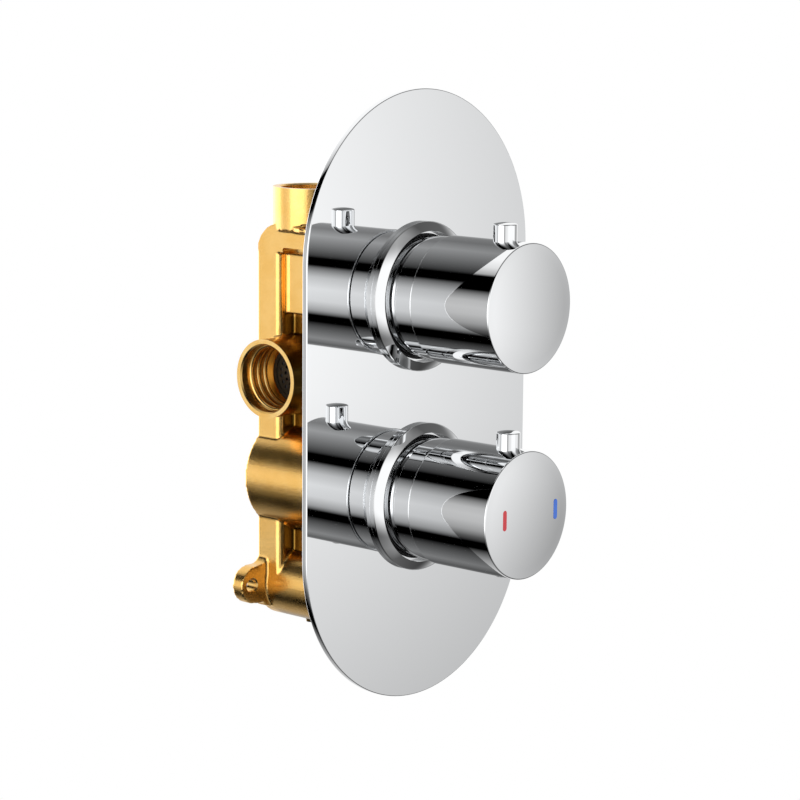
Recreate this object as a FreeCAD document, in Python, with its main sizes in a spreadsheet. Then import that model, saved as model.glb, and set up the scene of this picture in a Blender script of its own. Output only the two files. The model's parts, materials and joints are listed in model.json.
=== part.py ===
import FreeCAD, Part
import operator
import os
from math import atan2, cos, radians, sin
from types import SimpleNamespace

import Sketcher
from FreeCAD import Placement, Rotation, Vector

# Concealed thermostatic shower valve: a cast brass body that is buried in the wall, two
# cartridges, and the chromed plate, collars, sleeves and handles that stand in front of it.
#
# The origin is the centre of the faceplate's back, on the finished wall. X points right as
# seen by someone in the shower, Z points up and Y points into the wall.
#
# Every piece that looks out of the wall is drawn in the bench frame: the valve lies on its
# back, X right, Y up the wall, and Z is the reach out of the wall from the casting's back.

doc = FreeCAD.newDocument("shower_valve")
sheet = doc.addObject("Spreadsheet::Sheet", "dims")
pieces = []


class Size:
    # a length with the sheet expression that drives it
    def __init__(self, value, text):
        self.value = value
        self.text = text

    def joined(self, other, sign, work, flipped=False):
        other = as_size(other)
        first, second = (other, self) if flipped else (self, other)
        return Size(work(first.value, second.value), f"({first.text} {sign} {second.text})")

    def __add__(self, other):
        return self.joined(other, "+", operator.add)

    def __radd__(self, other):
        return self.joined(other, "+", operator.add, flipped=True)

    def __sub__(self, other):
        return self.joined(other, "-", operator.sub)

    def __rsub__(self, other):
        return self.joined(other, "-", operator.sub, flipped=True)

    def __mul__(self, other):
        return self.joined(other, "*", operator.mul)

    def __rmul__(self, other):
        return self.joined(other, "*", operator.mul, flipped=True)

    def __truediv__(self, other):
        return self.joined(other, "/", operator.truediv)


def as_size(length):
    return length if isinstance(length, Size) else Size(length, repr(round(length, 6)))


def measure(group, **lengths):
    # writes one group of driving dimensions into the sheet and returns them by name
    row = 1
    while sheet.getContents(f"B{row}"):
        row += 1
    group_sizes = {}
    for name, length in lengths.items():
        alias = f"{group}_{name}"
        sheet.set(f"A{row}", alias)
        sheet.set(f"B{row}", str(length))
        sheet.setAlias(f"B{row}", alias)
        group_sizes[name] = Size(length, f"dims.{alias}")
        row += 1
    return SimpleNamespace(**group_sizes)


def bind(target, prop, length):
    target.setExpression(prop, as_size(length).text)


# directions in which a piece's own Z axis can point once it is in place
out_of_wall = Rotation(Vector(1, 0, 0), 90)
to_left = Rotation(Vector(0, 1, 0), -90)
to_right = Rotation(Vector(0, 1, 0), 90)
upward = Rotation()
downward = Rotation(Vector(1, 0, 0), 180)


def place(piece, spot, turn):
    piece.Placement = Placement(Vector(*(as_size(length).value for length in spot)), turn)
    for axis, length in zip("xyz", spot):
        bind(piece, f"Placement.Base.{axis}", length)


def finish(piece, label, spot, turn=out_of_wall):
    piece.Label = label
    place(piece, spot, turn)
    pieces.append(piece)
    return piece


def origin_feature(body, role):
    return next(item for item in body.Origin.OriginFeatures if item.Role == role)


def new_sketch(body, role="XY_Plane", lift=None):
    sketch = body.newObject("Sketcher::SketchObject", f"{body.Name}_sketch")
    sketch.AttachmentSupport = [(origin_feature(body, role), "")]
    sketch.MapMode = "FlatFace"
    if lift is not None:
        sketch.AttachmentOffset = Placement(Vector(0, 0, as_size(lift).value), Rotation())
        bind(sketch, "AttachmentOffset.Base.z", lift)
    return sketch


def pin_point(sketch, curve, end, spot):
    # holds one end of a curve at a bound distance from the sketch's two axes
    for kind, axis_line, length in zip(("DistanceX", "DistanceY"), (-2, -1), spot):
        length = as_size(length)
        if abs(length.value) < 1e-9:
            sketch.addConstraint(Sketcher.Constraint("PointOnObject", curve, end, axis_line))
            continue
        row = sketch.addConstraint(Sketcher.Constraint(kind, -1, 1, curve, end, length.value))
        sketch.setExpression(f"Constraints[{row}]", length.text)


def arc_centre(start, stop, radius, side):
    # side 1 turns left on the way from start to stop, side -1 turns right
    chord = stop - start
    depth = max(radius * radius - chord.Length ** 2 / 4, 0) ** 0.5
    across = Vector(-chord.y, chord.x, 0).normalize() * side
    return (start + stop) / 2 + across * depth


def draw(sketch, corners):
    # closed outline: a corner is (x, y), or (x, y, radius) where an arc leaves it, whose
    # radius is positive where the arc turns left and negative where it turns right
    ends = []
    for index, corner in enumerate(corners):
        following = corners[(index + 1) % len(corners)]
        start = Vector(as_size(corner[0]).value, as_size(corner[1]).value, 0)
        stop = Vector(as_size(following[0]).value, as_size(following[1]).value, 0)
        if len(corner) == 2:
            curve = sketch.addGeometry(Part.LineSegment(start, stop), False)
            ends.append((curve, 1, 2))
            continue
        radius = as_size(corner[2])
        side = 1 if radius.value > 0 else -1
        centre = arc_centre(start, stop, radius.value, side)
        ends_of_arc = (start, stop) if side > 0 else (stop, start)
        first, last = (atan2(spot.y - centre.y, spot.x - centre.x) for spot in ends_of_arc)
        ring = Part.Circle(centre, Vector(0, 0, 1), abs(radius.value))
        curve = sketch.addGeometry(Part.ArcOfCircle(ring, first, last), False)
        ends.append((curve, 1, 2) if side > 0 else (curve, 2, 1))
        row = sketch.addConstraint(Sketcher.Constraint("Radius", curve, abs(radius.value)))
        sketch.setExpression(f"Constraints[{row}]", (radius * side).text)
    for index, (curve, start_end, stop_end) in enumerate(ends):
        following, next_start, _ = ends[(index + 1) % len(ends)]
        sketch.addConstraint(Sketcher.Constraint("Coincident", curve, stop_end, following, next_start))
        pin_point(sketch, curve, start_end, corners[index][:2])


def draw_circle(sketch, spot, radius):
    centre = Vector(as_size(spot[0]).value, as_size(spot[1]).value, 0)
    curve = sketch.addGeometry(Part.Circle(centre, Vector(0, 0, 1), as_size(radius).value), False)
    row = sketch.addConstraint(Sketcher.Constraint("Radius", curve, as_size(radius).value))
    bind(sketch, f"Constraints[{row}]", radius)
    pin_point(sketch, curve, 3, spot)


def rectangle(left, low, right, high):
    return [(left, low), (right, low), (right, high), (left, high)]


def obround(half_width, half_height, rise=0, shift=0):
    # upright slot outline of straight sides and two half rounds, each of two quarter arcs
    straight = half_height - half_width
    return [
        (shift + half_width, rise - straight),
        (shift + half_width, rise + straight, half_width),
        (shift, rise + half_height, half_width),
        (shift - half_width, rise + straight),
        (shift - half_width, rise - straight, half_width),
        (shift, rise - half_height, half_width),
    ]


def pad(body, sketch, length, midplane=False):
    feature = body.newObject("PartDesign::Pad", f"{body.Name}_pad")
    feature.Profile = sketch
    feature.Midplane = midplane
    bind(feature, "Length", length)
    sketch.Visibility = False
    return feature


def pocket(body, sketch, length, forward=True):
    # forward cuts along the sketch's normal
    feature = body.newObject("PartDesign::Pocket", f"{body.Name}_pocket")
    feature.Profile = sketch
    feature.Reversed = forward
    bind(feature, "Length", length)
    return feature


def pocket_through(body, sketch):
    feature = body.newObject("PartDesign::Pocket", f"{body.Name}_window")
    feature.Profile = sketch
    feature.Type = "ThroughAll"
    feature.Midplane = True
    return feature


def ring_of(body, feature, count):
    pattern = body.newObject("PartDesign::PolarPattern", f"{body.Name}_ring")
    pattern.Originals = [feature]
    pattern.Axis = (origin_feature(body, "Z_Axis"), [""])
    pattern.Angle = 360
    bind(pattern, "Occurrences", count)
    body.Tip = pattern
    return pattern


def turned(name, profile):
    # a piece turned on a lathe: the profile's corners are (radius, distance along the axis)
    body = doc.addObject("PartDesign::Body", name)
    sketch = new_sketch(body, "XZ_Plane")
    draw(sketch, profile)
    turn = body.newObject("PartDesign::Revolution", f"{name}_turn")
    turn.Profile = sketch
    turn.ReferenceAxis = (sketch, ["V_Axis"])
    turn.Angle = 360
    return body


def tube(name, inner, outer, low, high):
    return turned(name, rectangle(inner, low, outer, high))


def coil_spring(name, coil_radius, wire_radius, low, high, turns):
    body = doc.addObject("PartDesign::Body", name)
    sketch = new_sketch(body, "XZ_Plane")
    draw_circle(sketch, (coil_radius, low + wire_radius), wire_radius)
    helix = body.newObject("PartDesign::AdditiveHelix", f"{name}_coil")
    helix.Profile = sketch
    helix.ReferenceAxis = (sketch, ["V_Axis"])
    helix.Mode = "height-turns-angle"
    bind(helix, "Turns", turns)
    bind(helix, "Height", high - low - 2 * wire_radius)
    return body


def seal_ring(name, ring_radius, section_radius, low):
    torus = doc.addObject("Part::Torus", name)
    bind(torus, "Radius1", ring_radius)
    bind(torus, "Radius2", section_radius)
    place(torus, (0, 0, low), Rotation())
    return torus


def grouped(name, members):
    group = doc.addObject("Part::Compound", name)
    group.Links = members
    return group


def rod(name, radius, length, spot, turn=Rotation()):
    cylinder = doc.addObject("Part::Cylinder", name)
    bind(cylinder, "Radius", radius)
    bind(cylinder, "Height", length)
    place(cylinder, spot, turn)
    return cylinder


def block(name, low, high):
    box = doc.addObject("Part::Box", name)
    for prop, start, stop in zip(("Length", "Width", "Height"), low, high):
        bind(box, prop, as_size(stop) - start)
    place(box, low, Rotation())
    return box


# setting out
valve = measure(
    "valve",
    wall_depth=73.0,      # casting's back to the finished wall
    axis_rise=40.0,       # each handle's axis from the centre
    projection=55.0,      # handle face in front of the plate
    fit_gap=0.05,         # turning and sliding fits, on the radius
    free_gap=0.4,         # between pieces that move past each other
    press_gap=0.02,       # pressed and staked fits
    overcut=1.0,          # how far a cut runs past the face it opens
)
plate = measure("plate", width=130.0, height=242.0, thickness=2.5, edge=0.35)
inlet = measure("inlet", rise=3.5, depth=16.2, reach=27.0, radius=16.0)
outlet = measure("outlet", depth=17.0, top=79.6, radius=16.2)
thread = measure(
    "thread",
    radius=13.2,          # three-quarter inch pipe thread, at its root
    mouth=13.6,
    mouth_depth=4.5,
)

plate_front = valve.wall_depth + plate.thickness
handle_front = plate_front + valve.projection
flow_spot = (0, valve.wall_depth, valve.axis_rise)
temperature_spot = (0, valve.wall_depth, 0 - valve.axis_rise)
bench_spot = (0, valve.wall_depth, 0)
inlet_spot = (0, valve.wall_depth - inlet.depth, inlet.rise)
controls = {"flow": flow_spot, "temperature": temperature_spot}
inlets = {"hot": to_left, "cold": to_right}

# faceplate and its gasket
gasket = measure("gasket", inset=3.0, width=8.0, thickness=1.5)
collar = measure(
    "collar",
    radius=29.5,
    rise=4.0,
    spigot=25.9,          # the part that goes through the plate
    lip=25.8,
    lip_rise=1.7,
    throat=24.7,
    throat_rise=1.1,
    flare=5.0,            # radius of the hollow front
    edge=0.3,
)

plate_body = doc.addObject("PartDesign::Body", "faceplate")
plate_outline = new_sketch(plate_body, lift=valve.wall_depth)
draw(plate_outline, obround(plate.width / 2, plate.height / 2))
pad(plate_body, plate_outline, plate.thickness)
plate_holes = new_sketch(plate_body, lift=valve.wall_depth)
for rise in (valve.axis_rise, 0 - valve.axis_rise):
    draw_circle(plate_holes, (0, rise), collar.spigot + valve.fit_gap)
pocket(plate_body, plate_holes, plate.thickness)


def gasket_outlines(sketch):
    for inset in (gasket.inset, gasket.inset + gasket.width):
        draw(sketch, obround(plate.width / 2 - inset, plate.height / 2 - inset))


plate_groove = new_sketch(plate_body, lift=valve.wall_depth)
gasket_outlines(plate_groove)
groove_cut = pocket(plate_body, plate_groove, gasket.thickness)
doc.recompute()
edge_slack = 0.01
rim_edges = [
    f"Edge{index + 1}"
    for index, edge in enumerate(groove_cut.Shape.Edges)
    if edge.BoundBox.ZMin > plate_front.value - edge_slack and not edge.isClosed()
]
plate_rim = plate_body.newObject("PartDesign::Fillet", "plate_rim")
plate_rim.Base = (groove_cut, rim_edges)
bind(plate_rim, "Radius", plate.edge)
finish(plate_body, "faceplate", bench_spot)

gasket_body = doc.addObject("PartDesign::Body", "faceplate_gasket")
gasket_sketch = new_sketch(gasket_body, lift=valve.wall_depth)
gasket_outlines(gasket_sketch)
pad(gasket_body, gasket_sketch, gasket.thickness)
finish(gasket_body, "faceplate_gasket", bench_spot)

# collars, seals and sleeves
sleeve = measure(
    "sleeve",
    rear=48.0,
    bore=22.35,
    neck=23.4,            # the stretch that passes through the collar
    neck_front=5.0,       # steps in front of the plate
    shoulder=23.8,
    shoulder_front=8.0,
    radius=24.3,
    front=15.6,
    edge=0.3,
)
for side, spot in controls.items():
    hollow_low = (collar.lip, plate_front + collar.lip_rise)
    collar_body = turned(f"{side}_collar", [
        (collar.throat, valve.wall_depth),
        (collar.spigot, valve.wall_depth),
        (collar.spigot, plate_front),
        (collar.radius, plate_front),
        (collar.radius, plate_front + collar.rise - collar.edge),
        (collar.radius - collar.edge, plate_front + collar.rise, 0 - collar.flare),
        hollow_low,
        (collar.lip, plate_front + collar.throat_rise),
        (collar.throat, plate_front + collar.throat_rise),
    ])
    finish(collar_body, f"{side}_collar", spot)
    seal_section = (collar.throat - sleeve.neck) / 2
    collar_ring = seal_ring(f"{side}_collar_ring", sleeve.neck + seal_section, seal_section,
                            plate_front)
    finish(grouped(f"{side}_collar_seal", [collar_ring]), f"{side}_collar_seal", spot)
    sleeve_body = turned(f"{side}_sleeve", [
        (sleeve.bore, sleeve.rear),
        (sleeve.neck, sleeve.rear),
        (sleeve.neck, plate_front + sleeve.neck_front),
        (sleeve.shoulder, plate_front + sleeve.neck_front),
        (sleeve.shoulder, plate_front + sleeve.shoulder_front),
        (sleeve.radius, plate_front + sleeve.shoulder_front),
        (sleeve.radius, plate_front + sleeve.front - sleeve.edge),
        (sleeve.radius - sleeve.edge, plate_front + sleeve.front),
        (sleeve.bore, plate_front + sleeve.front),
    ])
    finish(sleeve_body, f"{side}_sleeve", spot)

# handles
handle = measure(
    "handle",
    radius=25.0,
    rear=16.0,            # in front of the plate
    bore=22.8,
    face=3.0,
    edge=0.4,
    boss=11.0,
    boss_bore=8.1,
    boss_rear=31.0,       # in front of the plate
    boss_floor=49.0,
)
lever = measure(
    "lever",
    radius=4.65,
    flow_reach=42.0,      # pin axis in front of the plate
    temperature_reach=45.0,
    flange=5.6,
    flange_low=20.5,
    flange_high=22.0,
    side_top=30.7,
    edge=0.9,
    dome_top=32.0,
    wall_start=20.0,      # where the hole through the handle's wall starts
)
plug = measure("plug", radius=3.0, reach=43.4, low=22.9, side_top=25.5, dome_top=25.9)
grub = measure("grub", radius=2.5, low=4.15, high=10.8, socket=1.25, socket_depth=2.5)
mark = measure(
    "mark",
    half_width=1.1,
    half_height=4.0,
    depth=0.5,
    hot_shift=-13.5,
    cold_shift=17.5,
)
spline = measure(
    "spline",
    radius=4.0,           # spindle under the splines
    low=36.0,             # in front of the plate
    high=47.0,
    groove=0.42,
    teeth=20,
)
adapter = measure("adapter", radius=8.0, low=33.0, high=48.5)
handle_rear = plate_front + handle.rear
handle_inner = handle_front - handle.face
lever_reaches = {"flow": lever.flow_reach, "temperature": lever.temperature_reach}
marks = {"hot": mark.hot_shift, "cold": mark.cold_shift}


def radial_hole(body, role, reach, radius, start, length, outward):
    # a round hole across the axis, from start outwards along the plane's normal or against it
    sketch = new_sketch(body, role, lift=start * outward)
    spot = (0, plate_front + reach)
    draw_circle(sketch, spot, radius)
    return pocket(body, sketch, length, forward=outward > 0)


def hexagon(across):
    reach = across / cos(radians(30)) / 2
    turns = [radians(60 * step + 30) for step in range(6)]
    return [(reach * cos(turn), reach * sin(turn)) for turn in turns]


for side, spot in controls.items():
    handle_body = turned(f"{side}_handle", [
        (0, plate_front + handle.boss_floor),
        (handle.boss_bore, plate_front + handle.boss_floor),
        (handle.boss_bore, plate_front + handle.boss_rear),
        (handle.boss, plate_front + handle.boss_rear),
        (handle.boss, handle_inner),
        (handle.bore, handle_inner),
        (handle.bore, handle_rear),
        (handle.radius - handle.edge, handle_rear),
        (handle.radius, handle_rear + handle.edge),
        (handle.radius, handle_front - handle.edge),
        (handle.radius - handle.edge, handle_front),
        (0, handle_front),
    ])
    wall_cut = 2 * (handle.radius - handle.bore) + handle.edge
    hole_start = lever.wall_start
    radial_hole(handle_body, "XZ_Plane", lever_reaches[side], lever.radius + valve.fit_gap,
                hole_start, 2 * wall_cut, -1)
    # the plug and the grub screw lie under the temperature handle and beside the flow handle
    role = "XZ_Plane" if side == "temperature" else "YZ_Plane"
    radial_hole(handle_body, role, plug.reach, plug.radius + valve.fit_gap, hole_start, 2 * wall_cut, 1)
    radial_hole(handle_body, role, plug.reach, grub.radius + valve.fit_gap, 0,
                handle.boss + valve.free_gap, 1)
    if side == "temperature":
        face_sketch = new_sketch(handle_body, lift=handle_front)
        for shift in marks.values():
            draw(face_sketch, obround(mark.half_width, mark.half_height, shift=shift))
        pocket(handle_body, face_sketch, mark.depth, forward=False)
    finish(handle_body, f"{side}_handle", spot)

    adapter_body = turned(f"{side}_adapter", [
        (spline.radius + valve.fit_gap, plate_front + adapter.low),
        (adapter.radius, plate_front + adapter.low),
        (adapter.radius, plate_front + adapter.high),
        (spline.radius + valve.fit_gap, plate_front + adapter.high),
    ])
    radial_hole(adapter_body, role, plug.reach, grub.radius + valve.fit_gap, 0,
                adapter.radius + valve.free_gap, 1)
    finish(adapter_body, f"{side}_adapter", spot)

    across_spot = (0, valve.wall_depth - plate_front - lever_reaches[side], spot[2])
    dome_rise = lever.dome_top - lever.side_top - lever.edge
    dome_half = lever.radius - lever.edge
    dome_radius = (dome_half * dome_half + dome_rise * dome_rise) / (2 * dome_rise)
    pin_body = turned(f"{side}_lever_pin", [
        (0, lever.flange_low),
        (lever.flange, lever.flange_low),
        (lever.flange, lever.flange_high),
        (lever.radius, lever.flange_high),
        (lever.radius, lever.side_top, lever.edge),
        (dome_half, lever.side_top + lever.edge, dome_radius),
        (0, lever.dome_top),
    ])
    finish(pin_body, f"{side}_lever_pin", across_spot, upward)

    plug_turn = downward if side == "temperature" else to_right
    plug_spot = (0, valve.wall_depth - plate_front - plug.reach, spot[2])
    plug_body = turned(f"{side}_plug", [
        (0, plug.low),
        (plug.radius, plug.low),
        (plug.radius, plug.side_top),
        (plug.radius / 2, plug.dome_top),
        (0, plug.dome_top),
    ])
    finish(plug_body, f"{side}_plug", plug_spot, plug_turn)

    grub_body = turned(f"{side}_grub_screw", rectangle(0, grub.low, grub.radius, grub.high))
    socket_sketch = new_sketch(grub_body, lift=grub.high)
    draw(socket_sketch, hexagon(grub.socket * 2))
    pocket(grub_body, socket_sketch, grub.socket_depth, forward=False)
    finish(grub_body, f"{side}_grub_screw", plug_spot, plug_turn)

for name, shift in marks.items():
    mark_body = doc.addObject("PartDesign::Body", f"{name}_mark")
    mark_sketch = new_sketch(mark_body, lift=handle_front - mark.depth)
    draw(mark_sketch, obround(mark.half_width, mark.half_height, shift=shift))
    pad(mark_body, mark_sketch, mark.depth)
    finish(mark_body, f"{name}_mark", temperature_spot)

# cartridge seats, shared
seat = measure(
    "seat",
    mouth=18.5,           # bore that takes each retaining nut
    front=60.0,           # end of both cartridge housings
    flange=17.9,
    flange_thickness=3.0,
    nut=18.4,
    nut_front=58.0,
    slots=6,
    slot_width=4.0,
    slot_depth=3.0,
)


def retaining_nut(name, neck, low, spot):
    bore = neck + 2 * valve.fit_gap
    nut_body = tube(name, bore, seat.nut, low, seat.nut_front)
    slot_sketch = new_sketch(nut_body, lift=seat.nut_front)
    draw(slot_sketch, rectangle(bore - valve.overcut, 0 - seat.slot_width / 2,
                                seat.nut + valve.overcut, seat.slot_width / 2))
    ring_of(nut_body, pocket(nut_body, slot_sketch, seat.slot_depth, forward=False), seat.slots)
    finish(nut_body, name, spot)


def grooved_bore(radius, depth, width, centre):
    # a seal groove in an outside wall of this radius, listed from low to high
    low, high = centre - width / 2, centre + width / 2
    return [(radius, low), (radius - depth, low), (radius - depth, high), (radius, high)]


def splined(spindle_body):
    groove_sketch = new_sketch(spindle_body, lift=plate_front + spline.low)
    draw_circle(groove_sketch, (spline.radius, 0), spline.groove)
    length = spline.high - spline.low + valve.overcut
    return ring_of(spindle_body, pocket(spindle_body, groove_sketch, length), spline.teeth)


# flow cartridge
flow = measure(
    "flow",
    bore=15.2,
    floor=31.5,
    gasket_bore=9.0,
    gasket_radius=12.4,
    gasket=2.0,
    disc_radius=10.5,
    disc=3.4,
    window=2.9,
    window_shift=5.6,
    sleeve_bore=10.7,
    sleeve=12.7,
    drive=3.6,
    head=14.0,            # cartridge head above the floor
    head_radius=15.0,
    head_groove=1.2,
    head_groove_width=1.8,
    head_ring=0.7,
    head_ring_rise=2.0,
    side_window_half=5.0,
    side_window_low=0.4,
    side_window_high=0.6,
    flange_low=49.5,
    neck=11.0,
    neck_front=65.0,
    stem=4.95,
    stem_front=62.0,
    low_ring_rise=5.0,
    high_ring_rise=11.0,
    seal_groove=1.05,
    seal_width=1.4,
    clip_radius=6.4,
    clip=1.0,
    clip_rise=0.1,
    clip_bite=0.5,
    clip_gap_half=1.5,
)
disc_low = flow.floor + flow.gasket
moving_low = disc_low + flow.disc + valve.fit_gap / 2
drive_low = moving_low + flow.disc
head_low = flow.floor + flow.head
stem_bore = flow.stem + valve.fit_gap
head_ring_low = head_low + flow.head_ring_rise
head_groove = grooved_bore(flow.head_radius, flow.head_groove, flow.head_groove_width, head_ring_low)

finish(tube("flow_base_gasket", flow.gasket_bore, flow.gasket_radius, flow.floor, disc_low),
       "flow_base_gasket", flow_spot)


def disc_windows(body, low, length, upright):
    # two round ports, side by side in the fixed disc and one above the other in the moving one
    sketch = new_sketch(body, lift=low)
    for shift in (flow.window_shift, 0 - flow.window_shift):
        draw_circle(sketch, (0, shift) if upright else (shift, 0), flow.window)
    return pocket(body, sketch, length)


fixed_disc = turned("flow_fixed_disc", rectangle(0, disc_low, flow.disc_radius, disc_low + flow.disc))
disc_windows(fixed_disc, disc_low, flow.disc, upright=False)
finish(fixed_disc, "flow_fixed_disc", flow_spot)

moving_disc = turned("flow_moving_disc", rectangle(0, moving_low, flow.disc_radius, drive_low))
disc_windows(moving_disc, moving_low, flow.disc, upright=True)
finish(moving_disc, "flow_moving_disc", flow_spot)

cartridge = turned("flow_cartridge_body", [
    (flow.sleeve_bore, disc_low),
    (flow.sleeve, disc_low),
    (flow.sleeve, head_low),
    (flow.head_radius, head_low),
    *head_groove,
    (flow.head_radius, flow.flange_low),
    (seat.flange, flow.flange_low),
    (seat.flange, flow.flange_low + seat.flange_thickness),
    (flow.neck, flow.flange_low + seat.flange_thickness),
    (flow.neck, flow.neck_front),
    (stem_bore, flow.neck_front),
    (stem_bore, head_low),
    (flow.sleeve_bore, head_low),
])
side_windows = new_sketch(cartridge, "YZ_Plane")
draw(side_windows, rectangle(0 - flow.side_window_half, drive_low + flow.side_window_low,
                             flow.side_window_half, head_low - flow.side_window_high))
pocket_through(cartridge, side_windows)
finish(cartridge, "flow_cartridge_body", flow_spot)
finish(grouped("flow_cartridge_seal", [
    seal_ring("flow_head_ring", flow.bore - flow.head_ring, flow.head_ring, head_ring_low),
]), "flow_cartridge_seal", flow_spot)
retaining_nut("flow_nut", flow.neck, flow.flange_low + seat.flange_thickness, flow_spot)

stem_grooves = [head_low + flow.low_ring_rise, head_low + flow.high_ring_rise]
clip_low = flow.neck_front + flow.clip_rise
clip_bore = spline.radius - flow.clip_bite
drive_radius = flow.disc_radius - 2 * valve.fit_gap
spindle = turned("flow_spindle", [
    (0, drive_low),
    (drive_radius, drive_low),
    (drive_radius, drive_low + flow.drive),
    (flow.stem, drive_low + flow.drive),
    *grooved_bore(flow.stem, flow.seal_groove, flow.seal_width, stem_grooves[0]),
    *grooved_bore(flow.stem, flow.seal_groove, flow.seal_width, stem_grooves[1]),
    (flow.stem, flow.stem_front),
    (spline.radius, flow.stem_front),
    (spline.radius, clip_low),
    (clip_bore, clip_low),
    (clip_bore, clip_low + flow.clip),
    (spline.radius, clip_low + flow.clip),
    (spline.radius, plate_front + spline.high),
    (0, plate_front + spline.high),
])
disc_windows(spindle, drive_low, flow.drive, upright=True)
splined(spindle)
finish(spindle, "flow_spindle", flow_spot)
seal_half = flow.seal_groove / 2
finish(grouped("flow_spindle_seals", [
    seal_ring(f"flow_stem_ring_{count}", flow.stem - seal_half, seal_half, low)
    for count, low in enumerate(stem_grooves)
]), "flow_spindle_seals", flow_spot)

clip_body = tube("flow_circlip", clip_bore, flow.clip_radius, clip_low, clip_low + flow.clip)
clip_gap = new_sketch(clip_body, lift=clip_low)
draw(clip_gap, rectangle(0 - flow.clip_gap_half, 0 - flow.clip_radius - valve.overcut,
                         flow.clip_gap_half, 0))
pocket(clip_body, clip_gap, flow.clip)
finish(clip_body, "flow_circlip", flow_spot)

# thermostatic cartridge
warm = measure(
    "warm",
    bore=16.2,
    floor=4.0,
    rear=5.0,
    sleeve=16.1,
    sleeve_bore=12.6,
    sleeve_front=40.0,
    flange_low=46.0,
    neck=12.8,
    neck_bore=6.45,
    neck_front=64.0,
    hot_port=14.0,        # rows of windows, from the casting's back
    cold_port=23.0,
    mixed_port=34.0,
    window_half=2.5,
    window_width=8.0,
    seal_groove=1.4,
    seal_width=1.8,
    cap=2.4,
    cap_bore=6.0,
    spring_wire=0.6,
    spring_turns=3,
)
shuttle = measure(
    "shuttle",
    low=15.5,
    high=21.5,
    radius=12.5,
    ring_bore=10.0,
    hub=7.0,
    web=2.0,
    hole=1.2,
    holes=8,
)
wax = measure("wax", radius=5.0, low=17.0, high=30.0, neck=2.6, neck_high=35.0, rod=1.5)
adjuster = measure(
    "adjuster",
    radius=6.4,
    low=40.0,
    high=55.0,
    cup=5.1,
    cup_floor=50.0,
    screw=3.05,
    clip=0.9,
    clip_bore=4.0,
    plate=1.5,
    spring=4.35,
    spring_wire=0.45,
    spring_turns=4,
)
stem = measure("stem", screw=3.0, low=48.5, flange=6.35, flange_low=57.0, flange_high=59.0)
gland = measure("gland", low=59.4, groove_low=61.2, groove_high=62.8, groove=5.6)
stop = measure(
    "stop",
    ring=16.2,
    low=58.2,
    high=62.0,
    tab_bore=13.0,
    tab_high=66.2,
    tab_angle=34.0,       # half of the tab's own width, in degrees
)
arm = measure("arm", low=64.4, high=66.0, hub=7.5, half_width=2.3, reach=14.8)

seal_rows = [
    (warm.rear + warm.hot_port - warm.window_half) / 2,
    (warm.hot_port + warm.cold_port) / 2,
    (warm.cold_port + warm.mixed_port) / 2,
    (warm.mixed_port + warm.window_half + warm.flange_low) / 2,
]
groove_corners = []
for low in seal_rows:
    groove_corners += grooved_bore(warm.sleeve, warm.seal_groove, warm.seal_width, low)
warm_body = turned("thermostat_body", [
    (warm.sleeve_bore, warm.rear),
    (warm.sleeve, warm.rear),
    *groove_corners,
    (warm.sleeve, warm.flange_low),
    (seat.flange, warm.flange_low),
    (seat.flange, warm.flange_low + seat.flange_thickness),
    (warm.neck, warm.flange_low + seat.flange_thickness),
    (warm.neck, warm.neck_front),
    (warm.neck_bore, warm.neck_front),
    (warm.neck_bore, warm.sleeve_front),
    (warm.sleeve_bore, warm.sleeve_front),
])
for role in ("XZ_Plane", "YZ_Plane"):
    port_sketch = new_sketch(warm_body, role)
    for port in (warm.hot_port, warm.cold_port, warm.mixed_port):
        draw(port_sketch, rectangle(0 - warm.window_width / 2, port - warm.window_half,
                                    warm.window_width / 2, port + warm.window_half))
    pocket_through(warm_body, port_sketch)
finish(warm_body, "thermostat_body", temperature_spot)

seal_reach = (warm.bore - warm.sleeve + warm.seal_groove) / 2
finish(grouped("thermostat_seals", [
    seal_ring(f"thermostat_ring_{count}", warm.bore - seal_reach, seal_reach, low)
    for count, low in enumerate(seal_rows)
]), "thermostat_seals", temperature_spot)
cap_high = warm.rear + warm.cap
cap_radius = warm.sleeve_bore - valve.press_gap
finish(tube("thermostat_end_cap", warm.cap_bore, cap_radius, warm.rear, cap_high),
       "thermostat_end_cap", temperature_spot)
finish(coil_spring("return_spring", (shuttle.radius + shuttle.ring_bore) / 2, warm.spring_wire,
                   cap_high, shuttle.low, warm.spring_turns), "return_spring", temperature_spot)
retaining_nut("thermostat_nut", warm.neck, warm.flange_low + seat.flange_thickness, temperature_spot)

web_middle = (shuttle.low + shuttle.high) / 2
shuttle_body = turned("thermostat_shuttle", [
    (wax.radius, web_middle - shuttle.web / 2),
    (shuttle.ring_bore, web_middle - shuttle.web / 2),
    (shuttle.ring_bore, shuttle.low),
    (shuttle.radius, shuttle.low),
    (shuttle.radius, shuttle.high),
    (shuttle.ring_bore, shuttle.high),
    (shuttle.ring_bore, web_middle + shuttle.web / 2),
    (shuttle.hub, web_middle + shuttle.web / 2),
    (shuttle.hub, shuttle.high),
    (wax.radius, shuttle.high),
])
flow_hole = new_sketch(shuttle_body, lift=web_middle - shuttle.web / 2)
draw_circle(flow_hole, ((shuttle.hub + shuttle.ring_bore) / 2, 0), shuttle.hole)
ring_of(shuttle_body, pocket(shuttle_body, flow_hole, shuttle.web), shuttle.holes)
finish(shuttle_body, "thermostat_shuttle", temperature_spot)

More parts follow.
